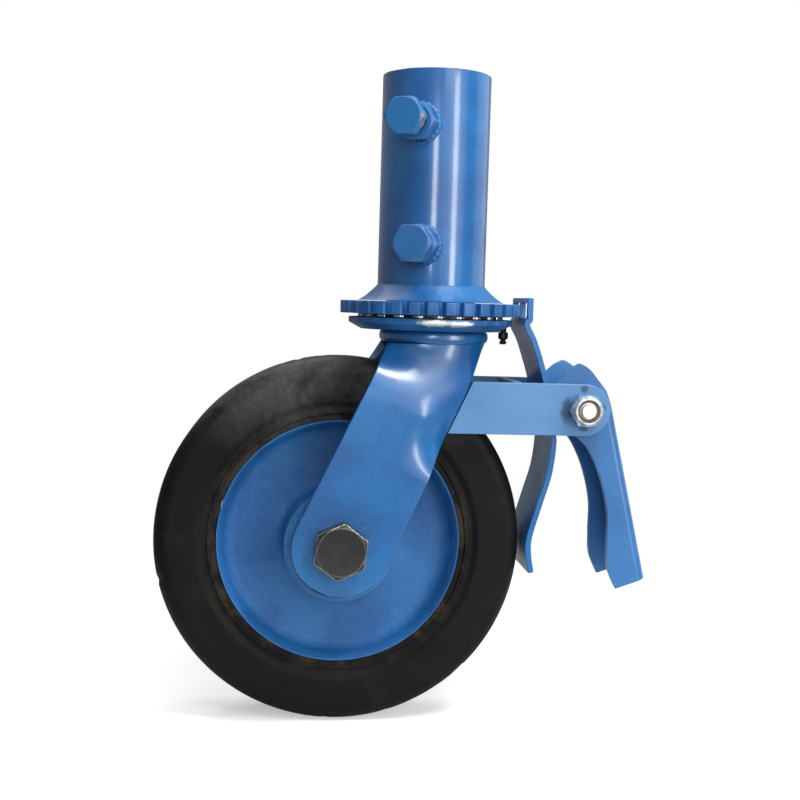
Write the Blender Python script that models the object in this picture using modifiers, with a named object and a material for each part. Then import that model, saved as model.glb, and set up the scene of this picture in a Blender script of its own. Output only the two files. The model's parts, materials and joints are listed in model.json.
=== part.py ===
# Scaffold castor: a tube socket on a toothed swivel ring, a pressed fork with
# a solid rubber wheel, and a lever brake that stops the wheel and the swivel
# together.
#
# Metres, +Z up. The origin is on the swivel axis at the top face of the
# toothed ring, where the scaffold tube comes to rest. The wheel trails
# towards -X, the brake lever is on +X, and -Y is called the near side.

import math

import bmesh
import bpy
from mathutils import Matrix, Vector

# Fits
FIT = 0.0003            # gap between pieces that touch
RUN_FIT = 0.0004        # radial play of a turning piece on its shaft

# Tube socket and its two clamp bolts
TUBE_R = 0.03015
TUBE_WALL = 0.005
TUBE_LENGTH = 0.1245
TUBE_CHAMFER = 0.0008
WELD_RISE = 0.0090
WELD_REACH = 0.0115
WELD_HOLLOW = 1.4         # 1 is a straight slope, more sinks it
CLAMP_TURN = {"lower": math.radians(-109.0), "upper": math.radians(-113.5)}
CLAMP_LOW = 0.0305
CLAMP_TOP_MARGIN = 0.0293
CLAMP_STAND_OFF = {"lower": 0.0060, "upper": 0.0120}
CLAMP_THREAD_R = 0.0059
CLAMP_AF = 0.019
CLAMP_HEAD = 0.0078
CLAMP_LENGTH = 0.021
CLAMP_NUT = 0.0100
CLAMP_BEAD = 0.0022

# Toothed ring
RING_R = 0.0507
RING_THICKNESS = 0.007
TEETH = 32
TOOTH_DEPTH = 0.0038
GAP_SHARE = 0.42        # share of the pitch that is open at the tooth tips
GAP_TAPER = 0.72        # width of a gap at its bottom, as a share of its mouth
SEAT_RISE = 0.0020      # spigot that centres the tube, where the scaffold leg stands
SEAT_BORE_PLAY = 0.0012

# Swivel head
KINGPIN_R = 0.008
KINGPIN_AF = 0.024
KINGPIN_HEAD = 0.009
KINGPIN_NUT = 0.0082
KINGPIN_TAIL = 0.0004
RACE_GAP = 0.0019
BALL_R = 0.004
BALLS = 22
RACE_INSET = 0.0137     # ring's edge to the middle of the ball track
DISH_INSET = 0.0047     # ring's edge to the dish's edge
DISH_TAPER = 0.0070
DISH_RIM = 0.0030
DISH_THICKNESS = 0.0067
CROWN_R = 0.0296
CROWN_THICKNESS = 0.0062
CROWN_BULGE = 0.0016    # how far the rounded edge swells
CUP_R = 0.0205
CUP_THICKNESS = 0.0045
CUP_LIP = 0.0016

# Grease nipple
NIPPLE_SHARE = 0.69      # place between the crown's edge and the dish's rim
NIPPLE_STEM_R = 0.0018
NIPPLE_STEM = 0.0036
NIPPLE_BODY_R = 0.0028
NIPPLE_LENGTH = 0.0068

# Fork
TRAIL = 0.0497
WHEEL_CLEARANCE = 0.00191    # tyre to the nearest corner of the kingpin's nut
LEG_OUT = 0.0443        # swivel axis to the outer face of a leg
LEG_THICKNESS = 0.006
LEG_HALF_WIDTH = 0.0254
LEG_END_R = 0.0262
LEG_TOP_SHIFT = 0.0022
LEG_FLARE = 0.0305      # length over which the leg steps outwards
LEG_REAR_FLARE = 0.0278 # the same along its rear edge, which clears the tyre
LEG_TWIST = 0.034       # length over which its sections turn square to it
FLANGE_START = 0.022    # from here the front edge stands at the brake arm
FLANGE_END = 0.054
FLANGE_FADE = 0.084     # here the front edge has run out into the flat leg
LEG_TRIM = 0.004        # length pressed over and cut off level at the crown
LEG_ROWS = 13
LEG_COLUMNS = 7

# Axle
AXLE_R = 0.009
AXLE_AF = 0.027
AXLE_HEAD = 0.0087
AXLE_HEAD_TURN = math.radians(-7.0)
AXLE_NUT = 0.0145
AXLE_TAIL = 0.0030
AXLE_WASHER_R = 0.0170
AXLE_WASHER = 0.0025
SLEEVE_WALL = 0.0022
BUSH_WALL = 0.0028
BUSH_LENGTH = 0.026
HUB_WASHER_R = 0.0190
HUB_WASHER = 0.0017

# Wheel
WHEEL_R = 0.1015
TYRE_DEPTH = 0.0345
TYRE_WIDTH = 0.0456
TYRE_SHOULDER = 0.0090
RIM_WIDTH = 0.0432
RIM_EDGE = 0.0020
RIM_DRAFT = 0.0022
RIM_FILLET = 0.0045
HUB_R = 0.0305
HUB_FILLET = 0.0050
HUB_CHAMFER = 0.0012
WEB_THICKNESS = 0.0200
LIP_WIDTH = 0.0075      # bead of the tyre, next to the rim
LIP_DEPTH = 0.0024

# Brake arms and what they carry
ARM_THICKNESS = 0.005
ARM_HEIGHT = 0.0286
ARM_TYRE_GAP = 0.0017
ARM_WELD_GAP = 0.0004
PIVOT_X = 0.0842
PIVOT_Z = -0.0569
PIVOT_R = 0.005
PIVOT_AF = 0.017
PIVOT_HEAD = 0.0066
PIVOT_NUT = 0.0058
PIVOT_COLLAR = 0.0022
PIVOT_TAIL = 0.0006
PIVOT_WASHER_R = 0.0100
PLATE_THICKNESS = 0.005
PLATE_HEIGHT = 0.023
GUIDE_R = 0.004
GUIDE_AF = 0.013
GUIDE_HEAD = 0.0053
GUIDE_NUT = 0.0065
GUIDE_TAIL = 0.0012
GUIDE_HOLE_PLAY = 0.0006
GUIDE_RISE = 0.0030      # guide bolt over the lever pivot
SPRING_WIRE_R = 0.0008
SPRING_COIL_R = 0.0064
SPRING_LENGTH = 0.0120
SPRING_TURNS = 4.5

# Brake lever, a trimmed length of U channel
LEVER_SIDE_GAP = 0.0020
LEVER_SHEET = 0.0038
LEVER_BEND_R = 0.0050
LEVER_ANGLE = math.radians(13.2)
LEVER_BACK = 0.0179     # pivot to the outer face of the web, level with it
LEVER_DROP = 0.1015     # pivot to the foot of the flanges
LEVER_FOOT_RISE = 0.006
LEVER_TOE = (           # height in shares of the drop, depth in shares of the back
    (1.000, 1.038), (0.884, 1.167), (0.749, 1.044), (0.567, 0.827),
    (0.374, 0.843), (0.220, 1.058), (0.154, 1.344),
)
LEVER_HEEL_R = 0.0158
LEVER_HOLE_PLAY = 0.0003
LOCK_ANGLE = math.radians(50.0)
CAM_REACH = 0.0222      # how far the raised lever's nose stands off the pivot
CAM_FACE = (            # height when raised and slack, in shares of the cam's reach
    (-0.135, 0.054), (0.158, 0.0135), (0.383, 0.0), (0.608, 0.045),
)
CAM_CROWN = (           # top of the flanges at rest, in shares of the cam's reach
    (-0.07, 1.135), (0.16, 1.000), (0.38, 0.743), (0.63, 0.432),
)

# Brake strip
STRIP_SHEET = 0.0032
STRIP_RISE = 0.0039     # top edge over the ring
STRIP_NECK = 0.0014     # inward dip under the pad
STRIP_BOW = 0.0058      # outward bow below the arms
STRIP_BENDS = (0.11, 0.38, 0.68)     # bow and bends, as shares of the way to the axle
STRIP_TAIL = 0.0165     # tail below the height of the axle
STRIP_KICK = 0.0020     # outward kick of the tail
BRAKE_TRAVEL = 0.0028
PAD_GAP = 0.0006
CAM_GAP = 0.0003
WINDOW_CLEARANCE = 0.0011
WINDOW_SIDE = 0.0035
BAR_WIDTH = 0.0026      # bar between the windows, which enters a tooth gap

SEGMENTS_LARGE = 44
SEGMENTS_MEDIUM = 32
SEGMENTS_SMALL = 16
SEGMENTS_CORNER = 12

# Socket and ball race
clamp_heights = {"lower": CLAMP_LOW, "upper": TUBE_LENGTH - CLAMP_TOP_MARGIN}
ball_circle_r = RING_R - RACE_INSET
dish_r = RING_R - DISH_INSET
dish_foot_r = dish_r - DISH_TAPER
kingpin_corner = KINGPIN_AF / math.sqrt(3)

# Heights of the stack under the ring
ring_foot = -RING_THICKNESS
dish_top = ring_foot - RACE_GAP
ball_z = ring_foot - RACE_GAP / 2
dish_foot = dish_top - DISH_THICKNESS
crown_top = dish_foot - FIT
crown_foot = crown_top - CROWN_THICKNESS
cup_top = crown_foot - FIT
cup_foot = cup_top - CUP_THICKNESS
leg_top = crown_foot - FIT
kingpin_foot = cup_foot - FIT - KINGPIN_NUT - KINGPIN_TAIL
axle_drop = math.sqrt((WHEEL_R + WHEEL_CLEARANCE) ** 2 - (TRAIL - kingpin_corner) ** 2)
axle_drop -= kingpin_foot

# Widths across the fork and the brake
leg_in = LEG_OUT - LEG_THICKNESS
hub_half = leg_in - HUB_WASHER - 2 * FIT
sleeve_r = AXLE_R + RUN_FIT + SLEEVE_WALL
bush_r = sleeve_r + RUN_FIT + BUSH_WALL
arm_in = TYRE_WIDTH / 2 + ARM_TYRE_GAP
arm_out = arm_in + ARM_THICKNESS
lever_half = arm_in - LEVER_SIDE_GAP
rim_r = WHEEL_R - TYRE_DEPTH
wheel_x = -TRAIL
wheel_z = -axle_drop
leg_lean = math.atan2(TRAIL + LEG_TOP_SHIFT, axle_drop + leg_top)
leg_run = math.hypot(TRAIL + LEG_TOP_SHIFT, axle_drop + leg_top)

# Right faces of the brake strip: at the ring, at the cam and at the tyre
pad_x = RING_R + PAD_GAP + STRIP_SHEET
cam_x = PIVOT_X - CAM_REACH - CAM_GAP + BRAKE_TRAVEL
shoe_x = wheel_x + WHEEL_R + BRAKE_TRAVEL + CAM_GAP + STRIP_SHEET
plate_x = cam_x - STRIP_SHEET - SPRING_LENGTH
guide_z = PIVOT_Z + GUIDE_RISE


# Scene and materials

def clear_scene():
    for item in list(bpy.data.objects):
        bpy.data.objects.remove(item, do_unlink=True)
    for group in list(bpy.data.collections):
        bpy.data.collections.remove(group)


def new_collection(name):
    group = bpy.data.collections.new(name)
    bpy.context.scene.collection.children.link(group)
    return group


def new_material(name, colour, roughness, metallic):
    material = bpy.data.materials.new(name)
    material.use_nodes = True
    shader = material.node_tree.nodes["Principled BSDF"]
    shader.inputs["Base Color"].default_value = (*colour, 1.0)
    shader.inputs["Roughness"].default_value = roughness
    shader.inputs["Metallic"].default_value = metallic
    return material


BLUE = (0.030, 0.155, 0.450)
FINISHES = {
    "blue_paint": (BLUE, 0.38, 0.0),
    "bare_steel": ((0.36, 0.34, 0.31), 0.35, 1.0),
    "dark_steel": ((0.09, 0.085, 0.08), 0.45, 1.0),
    "bright_steel": ((0.62, 0.60, 0.56), 0.25, 1.0),
    "bronze": ((0.50, 0.33, 0.14), 0.40, 1.0),
    "black_rubber": ((0.018, 0.018, 0.018), 0.80, 0.0),
}


def add_piece(name, mesh, finish, parent=None):
    """Link a mesh as a named piece with a material of its own."""
    piece = bpy.data.objects.new(name, mesh)
    castor.objects.link(piece)
    colour, roughness, metallic = FINISHES[finish]
    mesh.materials.clear()
    mesh.materials.append(new_material(name + "_" + finish, colour, roughness, metallic))
    if parent:
        piece.parent = parent
    return piece


def add_tool(name, mesh, parent=None):
    """Link a mesh that only cuts, trims or joins a piece."""
    tool = bpy.data.objects.new(name, mesh)
    tools.objects.link(tool)
    tool.hide_render = True
    tool.display_type = "WIRE"
    if parent:
        tool.parent = parent
    return tool


def add_axis(name, location, parent=None):
    """Add an empty that marks a joint's axis and carries the pieces on it."""
    axis = bpy.data.objects.new(name, None)
    castor.objects.link(axis)
    axis.empty_display_size = 0.02
    axis.location = location
    if parent:
        axis.parent = parent
    return axis


def combine(piece, tool, operation):
    """Cut, trim or join a piece with a tool, exactly."""
    modifier = piece.modifiers.new(operation.lower() + "_" + tool.name, "BOOLEAN")
    modifier.operation = operation
    modifier.solver = "EXACT"
    modifier.object = tool


def shade_round(mesh, angle=35.0):
    mesh.shade_smooth()
    mesh.set_sharp_from_angle(angle=math.radians(angle))


# Mesh makers

def profile_mesh(name, points, closed):
    """Make the edges of a profile that stands in the X-Z plane."""
    mesh = bpy.data.meshes.new(name)
    work = bmesh.new()
    corners = [work.verts.new((radius, 0.0, height)) for radius, height in points]
    for start, end in zip(corners, corners[1:]):
        work.edges.new((start, end))
    if closed:
        work.edges.new((corners[-1], corners[0]))
    work.to_mesh(mesh)
    work.free()
    return mesh


def turn_on_screw(thing, segments):
    """Turn the object's profile about its own Z axis."""
    screw = thing.modifiers.new("turning", "SCREW")
    screw.angle = math.radians(360.0)
    screw.steps = segments
    screw.render_steps = segments
    screw.use_merge_vertices = True
    screw.merge_threshold = 0.00001
    screw.use_smooth_shade = True


def turned_piece(name, points, finish, segments=SEGMENTS_SMALL, closed=True, parent=None):
    piece = add_piece(name, profile_mesh(name, points, closed), finish, parent)
    turn_on_screw(piece, segments)
    return piece


def turned_tool(name, points, segments=SEGMENTS_SMALL, closed=False, parent=None):
    tool = add_tool(name, profile_mesh(name, points, closed), parent)
    turn_on_screw(tool, segments)
    return tool


def rod_tool(name, radius, low, high, segments=SEGMENTS_SMALL, parent=None):
    """Make a plain rod about Z, turned like the pieces that it cuts."""
    points = [(0.0, high), (radius, high), (radius, low), (0.0, low)]
    return turned_tool(name, points, segments, parent=parent)


def ring_profile(inner, outer, low, high, chamfer=0.0):
    """Give the section of a washer or a tube, outer side first."""
    if chamfer == 0.0:
        return [(outer, high), (outer, low), (inner, low), (inner, high)]
    return [
        (outer - chamfer, high), (outer, high - chamfer),
        (outer, low + chamfer), (outer - chamfer, low),
        (inner + chamfer, low), (inner, low + chamfer),
        (inner, high - chamfer), (inner + chamfer, high),
    ]


def arc_points(centre, radius, start, end, count):
    """Give points on an arc, from one angle to the other in degrees."""
    points = []
    for step in range(count + 1):
        angle = math.radians(start + (end - start) * step / count)
        points.append((
            centre[0] + radius * math.cos(angle),
            centre[1] + radius * math.sin(angle),
        ))
    return points


def smooth_path(knots, steps):
    """Run a smooth curve through a few points, in the plane."""
    path = []
    last = len(knots) - 1
    for index in range(last):
        before = Vector(knots[max(index - 1, 0)])
        start = Vector(knots[index])
        end = Vector(knots[index + 1])
        after = Vector(knots[min(index + 2, last)])
        for step in range(steps):
            t = step / steps
            point = 0.5 * (
                2 * start + (end - before) * t
                + (2 * before - 5 * start + 4 * end - after) * t * t
                + (3 * start - before - 3 * end + after) * t ** 3
            )
            path.append((point.x, point.y))
    path.append(tuple(knots[-1]))
    return path


def plate_mesh(name, outline, low, high):
    """Fill a flat outline in X-Y and give it its thickness along Z."""
    curve = bpy.data.curves.new(name, "CURVE")
    curve.dimensions = "2D"
    curve.fill_mode = "BOTH"
    curve.extrude = (high - low) / 2
    spline = curve.splines.new("POLY")
    spline.points.add(len(outline) - 1)
    for point, (x, y) in zip(spline.points, outline):
        point.co = (x, y, 0.0, 1.0)
    spline.use_cyclic_u = True
    holder = bpy.data.objects.new(name + "_outline", curve)
    bpy.context.scene.collection.objects.link(holder)
    bpy.context.view_layer.update()
    evaluated = holder.evaluated_get(bpy.context.evaluated_depsgraph_get())
    mesh = bpy.data.meshes.new_from_object(evaluated)
    bpy.data.objects.remove(holder, do_unlink=True)
    bpy.data.curves.remove(curve)
    work = bmesh.new()
    work.from_mesh(mesh)
    bmesh.ops.remove_doubles(work, verts=work.verts, dist=0.000005)
    bmesh.ops.translate(work, verts=work.verts, vec=(0.0, 0.0, (high + low) / 2))
    bmesh.ops.recalc_face_normals(work, faces=work.faces)
    work.to_mesh(mesh)
    work.free()
    mesh.name = name
    return mesh


def wire_mesh(name, points, radius):
    """Sweep a round wire through points and weld its caps on."""
    curve = bpy.data.curves.new(name, "CURVE")
    curve.dimensions = "3D"
    curve.bevel_depth = radius
    curve.bevel_resolution = 1
    curve.use_fill_caps = True
    spline = curve.splines.new("POLY")
    spline.points.add(len(points) - 1)
    for point, place in zip(spline.points, points):
        point.co = (*place, 1.0)
    holder = bpy.data.objects.new(name + "_path", curve)
    bpy.context.scene.collection.objects.link(holder)
    bpy.context.view_layer.update()
    evaluated = holder.evaluated_get(bpy.context.evaluated_depsgraph_get())
    mesh = bpy.data.meshes.new_from_object(evaluated)
    bpy.data.objects.remove(holder, do_unlink=True)
    bpy.data.curves.remove(curve)
    work = bmesh.new()
    work.from_mesh(mesh)
    bmesh.ops.remove_doubles(work, verts=work.verts, dist=0.000005)
    bmesh.ops.recalc_face_normals(work, faces=work.faces)
    work.to_mesh(mesh)
    work.free()
    mesh.name = name
    return mesh


def hex_mesh(name, across_flats, low, high, turn=0.0):
    """Make a hexagonal prism about Z with its corners on the X axis."""
    mesh = bpy.data.meshes.new(name)
    work = bmesh.new()
    bmesh.ops.create_cone(
        work, cap_ends=True, segments=6, depth=high - low,
        radius1=across_flats / math.sqrt(3), radius2=across_flats / math.sqrt(3),
        matrix=Matrix.Translation((0, 0, (high + low) / 2))
        @ Matrix.Rotation(math.radians(30.0) + turn, 4, "Z"),
    )
    work.to_mesh(mesh)
    work.free()
    return mesh


def trim_corners(piece, across_flats, low, high, both_ends):
    """Trim a hexagon's corners to the usual 30 degree cone."""
    flat_r = across_flats * 0.475
    corner_r = across_flats * 0.60
    drop = (corner_r - flat_r) * math.tan(math.radians(30.0))
    points = [(0.0, high), (flat_r, high), (corner_r, high - drop)]
    if both_ends:
        points += [(corner_r, low + drop), (flat_r, low), (0.0, low)]
    else:
        spare = across_flats * 0.1
        points += [(corner_r, low - spare), (0.0, low - spare)]
    cone = turned_tool(piece.name + "_corner_cone", points, SEGMENTS_CORNER, parent=piece)
    combine(piece, cone, "INTERSECT")


def hex_bolt(name, across_flats, head, radius, length, finish, parent=None, turn=0.0):
    """A hex head from 0 to +Z with its shank running down to -Z."""
    piece = add_piece(name, hex_mesh(name, across_flats, 0.0, head, turn), finish, parent)
    trim_corners(piece, across_flats, 0.0, head, both_ends=False)
    point = radius * 0.16
    shank = turned_tool(
        name + "_shank",
        [(0.0, head / 2), (radius, head / 2), (radius, point - length),
         (radius - point, -length), (0.0, -length)],
        parent=piece,
    )
    combine(piece, shank, "UNION")
    return piece


def hex_nut(name, across_flats, height, bore, finish, parent=None, turn=0.0):
    """A hex nut from 0 to +Z with a plain bore."""
    piece = add_piece(name, hex_mesh(name, across_flats, 0.0, height, turn), finish, parent)
    trim_corners(piece, across_flats, 0.0, height, both_ends=True)
    hole = rod_tool(name + "_bore", bore, -height, 2 * height, parent=piece)
    combine(piece, hole, "DIFFERENCE")
    return piece


def point_along(thing, location, direction):
    """Place a thing with its Z axis along a horizontal direction, Y up."""
    thing.location = location
    thing.rotation_euler = Vector(direction).to_track_quat("Z", "Y").to_euler()


def point_near(thing, location):
    """Place a thing with its Z axis towards the near side, -Y."""
    thing.location = location
    thing.rotation_euler = (math.radians(90.0), 0.0, 0.0)


def point_far(thing, location):
    """Place a thing with its Z axis towards the far side, +Y."""
    thing.location = location
    thing.rotation_euler = (math.radians(-90.0), 0.0, 0.0)


# Tube socket

def clamp_direction(place):
    turn = CLAMP_TURN[place]
    return Vector((math.cos(turn), math.sin(turn), 0.0))


def make_socket_tube():
    bore_r = TUBE_R - TUBE_WALL
    top = FIT + TUBE_LENGTH
    foot_r = TUBE_R + WELD_REACH
    bead = [
        (TUBE_R + WELD_REACH * share, FIT + WELD_RISE * (1.0 - share) ** WELD_HOLLOW)
        for share in (0.0, 0.2, 0.45, 0.7, 0.93)
    ]
    points = [(TUBE_R - TUBE_CHAMFER, top), (TUBE_R, top - TUBE_CHAMFER)]
    points += bead
    points += [(foot_r, FIT), (bore_r, FIT)]
    points += [(bore_r, top - TUBE_CHAMFER), (bore_r + TUBE_CHAMFER, top)]
    tube = turned_piece("socket_tube", points, "blue_paint", SEGMENTS_LARGE)
    for place, height in clamp_heights.items():
        hole = rod_tool("tube_hole_" + place, CLAMP_THREAD_R + FIT, 0.0, 2 * TUBE_R)
        point_along(hole, (0.0, 0.0, height), clamp_direction(place))
        combine(tube, hole, "DIFFERENCE")
    return tube


def make_clamp_nut(place):
    """A hex nut welded to the tube, its foot cut to the tube's curve."""
    name = "clamp_nut_" + place
    seat = TUBE_R * 0.9
    outer = TUBE_R + FIT + CLAMP_NUT
    nut = add_piece(name, hex_mesh(name, CLAMP_AF, seat, outer), "blue_paint")
    trim_corners(nut, CLAMP_AF, seat, outer, both_ends=False)
    point_along(nut, (0.0, 0.0, clamp_heights[place]), clamp_direction(place))
    corner_r = CLAMP_AF / math.sqrt(3)
    bead = turned_tool(
        name + "_bead",
        [(0.0, outer - CLAMP_NUT * 0.5), (corner_r * 0.8, outer - CLAMP_NUT * 0.5),
         (corner_r + CLAMP_BEAD, seat), (0.0, seat)],
        parent=nut,
    )
    combine(nut, bead, "UNION")
    tube = rod_tool(name + "_tube", TUBE_R + FIT, -TUBE_R, TUBE_LENGTH, SEGMENTS_LARGE)
    combine(nut, tube, "DIFFERENCE")
    hole = rod_tool(name + "_bore", CLAMP_THREAD_R + FIT, 0.0, 2 * outer, parent=nut)
    combine(nut, hole, "DIFFERENCE")
    return nut


def make_clamp_bolt(place):
    name = "clamp_bolt_" + place
    bolt = hex_bolt(name, CLAMP_AF, CLAMP_HEAD, CLAMP_THREAD_R, CLAMP_LENGTH, "blue_paint")
    seat = TUBE_R + FIT + CLAMP_NUT + CLAMP_STAND_OFF[place]
    centre = clamp_direction(place) * seat
    point_along(bolt, (centre.x, centre.y, clamp_heights[place]), clamp_direction(place))
    return bolt


# Toothed ring and swivel head

def ring_outline():
    """Walk round the ring: each tooth tip, then the round-bottomed gap after it."""
    pitch = 2 * math.pi / TEETH
    mouth = pitch * GAP_SHARE
    floor_r = RING_R - TOOTH_DEPTH
    outline = []
    for tooth in range(TEETH):
        middle = tooth * pitch
        for share in (-0.5, -0.5 * GAP_TAPER, 0.0, 0.5 * GAP_TAPER, 0.5):
            angle = middle + share * mouth
            radius = RING_R
            if abs(share) < 0.5:
                radius = floor_r + TOOTH_DEPTH * 0.30 * abs(share) / (0.5 * GAP_TAPER)
            outline.append((radius * math.cos(angle), radius * math.sin(angle)))
    return outline


def ball_groove(name):
    """A ring of round section that cuts a ball track."""
    centre = (ball_circle_r, ball_z)
    points = arc_points(centre, BALL_R + FIT, 90.0, -270.0, 10)[:-1]
    return turned_tool(name, points, SEGMENTS_MEDIUM, closed=True)


def make_toothed_ring():
    mesh = plate_mesh("toothed_ring", ring_outline(), ring_foot, 0.0)
    ring = add_piece("toothed_ring", mesh, "blue_paint")
    seat = turned_tool("ring_seat", ring_profile(
        kingpin_corner + SEAT_BORE_PLAY, TUBE_R - TUBE_WALL - FIT,
        ring_foot / 2, SEAT_RISE), SEGMENTS_MEDIUM, closed=True)
    combine(ring, seat, "UNION")
    combine(ring, ball_groove("ring_groove"), "DIFFERENCE")
    hole = rod_tool("ring_hole", KINGPIN_R + FIT, 2 * ring_foot, -ring_foot)
    combine(ring, hole, "DIFFERENCE")
    return ring


def make_kingpin():
    length = FIT - kingpin_foot
    pin = hex_bolt("kingpin", KINGPIN_AF, KINGPIN_HEAD, KINGPIN_R, length, "dark_steel")
    pin.location = (0.0, 0.0, FIT)
    nut = hex_nut("kingpin_nut", KINGPIN_AF, KINGPIN_NUT, KINGPIN_R + FIT, "dark_steel")
    nut.location = (0.0, 0.0, cup_foot - FIT - KINGPIN_NUT)
    return pin


def make_thrust_cup():
    """A hardened cup that the nut holds up against the crown."""
    bore = KINGPIN_R + FIT
    points = [
        (CUP_R - CUP_LIP, cup_top), (CUP_R, cup_top - CUP_LIP),
        (CUP_R - 2 * CUP_LIP, cup_foot), (bore, cup_foot), (bore, cup_top),
    ]
    return turned_piece("thrust_cup", points, "dark_steel", SEGMENTS_SMALL)


def make_balls(fork):
    mesh = bpy.data.meshes.new("race_ball")
    work = bmesh.new()
    bmesh.ops.create_uvsphere(work, u_segments=8, v_segments=5, radius=BALL_R)
    work.to_mesh(mesh)
    work.free()
    shade_round(mesh, 60.0)
    for index in range(BALLS):
        angle = 2 * math.pi * (index + 0.5) / BALLS
        name = "race_ball_%02d" % (index + 1)
        ball = add_piece(name, mesh, "bright_steel", fork)
        ball.location = (
            ball_circle_r * math.cos(angle), ball_circle_r * math.sin(angle), ball_z,
        )


def nipple_x():
    crown_edge = LEG_TOP_SHIFT + CROWN_R + CROWN_BULGE
    return crown_edge + (dish_r - crown_edge) * NIPPLE_SHARE


def make_race_dish(fork):
    bore = KINGPIN_R + RUN_FIT
    rim_low = dish_top - DISH_RIM
    points = [(dish_r, dish_top), (dish_r, rim_low), (dish_foot_r, dish_foot)]
    points += [(bore, dish_foot), (bore, dish_top)]
    dish = turned_piece("race_dish", points, "blue_paint", SEGMENTS_MEDIUM, parent=fork)
    combine(dish, ball_groove("dish_groove"), "DIFFERENCE")
    floor = dish_foot + NIPPLE_STEM
    hole = rod_tool(
        "nipple_hole", NIPPLE_STEM_R + FIT, dish_foot - DISH_RIM, floor, SEGMENTS_CORNER)
    hole.location = (nipple_x(), 0.0, 0.0)
    combine(dish, hole, "DIFFERENCE")
    return dish


def make_grease_nipple(fork):
    seat = dish_foot - FIT
    foot = seat - NIPPLE_LENGTH
    neck_r = NIPPLE_BODY_R * 0.55
    points = [
        (0.0, seat + NIPPLE_STEM), (NIPPLE_STEM_R, seat + NIPPLE_STEM),
        (NIPPLE_STEM_R, seat), (NIPPLE_BODY_R, seat),
        (NIPPLE_BODY_R, seat - NIPPLE_LENGTH * 0.55),
        (neck_r, seat - NIPPLE_LENGTH * 0.65),
        (neck_r * 1.35, seat - NIPPLE_LENGTH * 0.85),
        (neck_r, foot), (0.0, foot),
    ]
    nipple = turned_piece("grease_nipple", points, "dark_steel", 10, closed=False, parent=fork)
    nipple.location = (nipple_x(), 0.0, 0.0)
    return nipple


def make_fork_crown(fork):
    """The crown plate, set forward with the legs, its edge rounded over."""
    edge_r = CROWN_R - CROWN_BULGE * 0.3
    points = [(0.0, crown_top), (CROWN_R - CROWN_BULGE, crown_top)]
    points += [
        (edge_r + CROWN_BULGE * bulge, crown_foot + CROWN_THICKNESS * (0.5 + 0.5 * rise))
        for bulge, rise in arc_points((0.0, 0.0), 1.0, 60.0, -90.0, 5)
    ]
    points += [(0.0, crown_foot)]
    crown = turned_piece(
        "fork_crown", points, "blue_paint", SEGMENTS_MEDIUM, closed=False, parent=fork,
    )
    crown.location = (LEG_TOP_SHIFT, 0.0, 0.0)
    hole = rod_tool("crown_hole", KINGPIN_R + RUN_FIT, 2 * crown_foot, -crown_foot)
    combine(crown, hole, "DIFFERENCE")
    return crown


# Fork legs

def ease(value):
    """Rise smoothly from 0 to 1."""
    value = min(max(value, 0.0), 1.0)
    return value * value * (3.0 - 2.0 * value)


def leg_centre(run):
    """Point on the leg's middle line, a length down from the crown."""
    return (
        LEG_TOP_SHIFT - run * math.sin(leg_lean),
        leg_top - run * math.cos(leg_lean),
    )


def leg_half(run):
    return LEG_HALF_WIDTH + (LEG_END_R - LEG_HALF_WIDTH) * run / leg_run


def leg_section(run):
    """Direction and half length of the section across the leg at a length down."""
    tilt = -leg_lean * ease(run / LEG_TWIST)
    half = leg_half(run) / math.cos(leg_lean + tilt)
    return (math.cos(tilt), math.sin(tilt)), half


def leg_point(run, share):
    """Point of the leg's side view: share runs from -1 at the rear to 1 in front."""
    centre = leg_centre(run)
    direction, half = leg_section(run)
    return (centre[0] + direction[0] * half * share, centre[1] + direction[1] * half * share)


def leg_stand(run, share):
    """Distance of the leg's outer face from the middle plane."""
    half_top = LEG_HALF_WIDTH / math.cos(leg_lean)
    round_top = math.sqrt(CROWN_R ** 2 - half_top ** 2)
    middle = CROWN_R + (LEG_OUT - CROWN_R) * ease(run / LEG_FLARE)
    if share < 0.0:
        edge = round_top + (LEG_OUT - round_top) * ease(run / LEG_REAR_FLARE)
    elif run < FLANGE_START:
        edge = round_top + (arm_out - round_top) * ease(run / FLANGE_START)
    elif run < FLANGE_END:
        edge = arm_out
    else:
        fade = (run - FLANGE_END) / (FLANGE_FADE - FLANGE_END)
        edge = arm_out + (LEG_OUT - arm_out) * ease(fade)
    reach = half_top / CROWN_R
    roundness = (1 - math.sqrt(1 - (reach * share) ** 2)) / (1 - math.sqrt(1 - reach ** 2))
    bend = share * share
    mix = ease(run / LEG_FLARE)
    return middle - (middle - edge) * (roundness * (1 - mix) + bend * mix)


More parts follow.
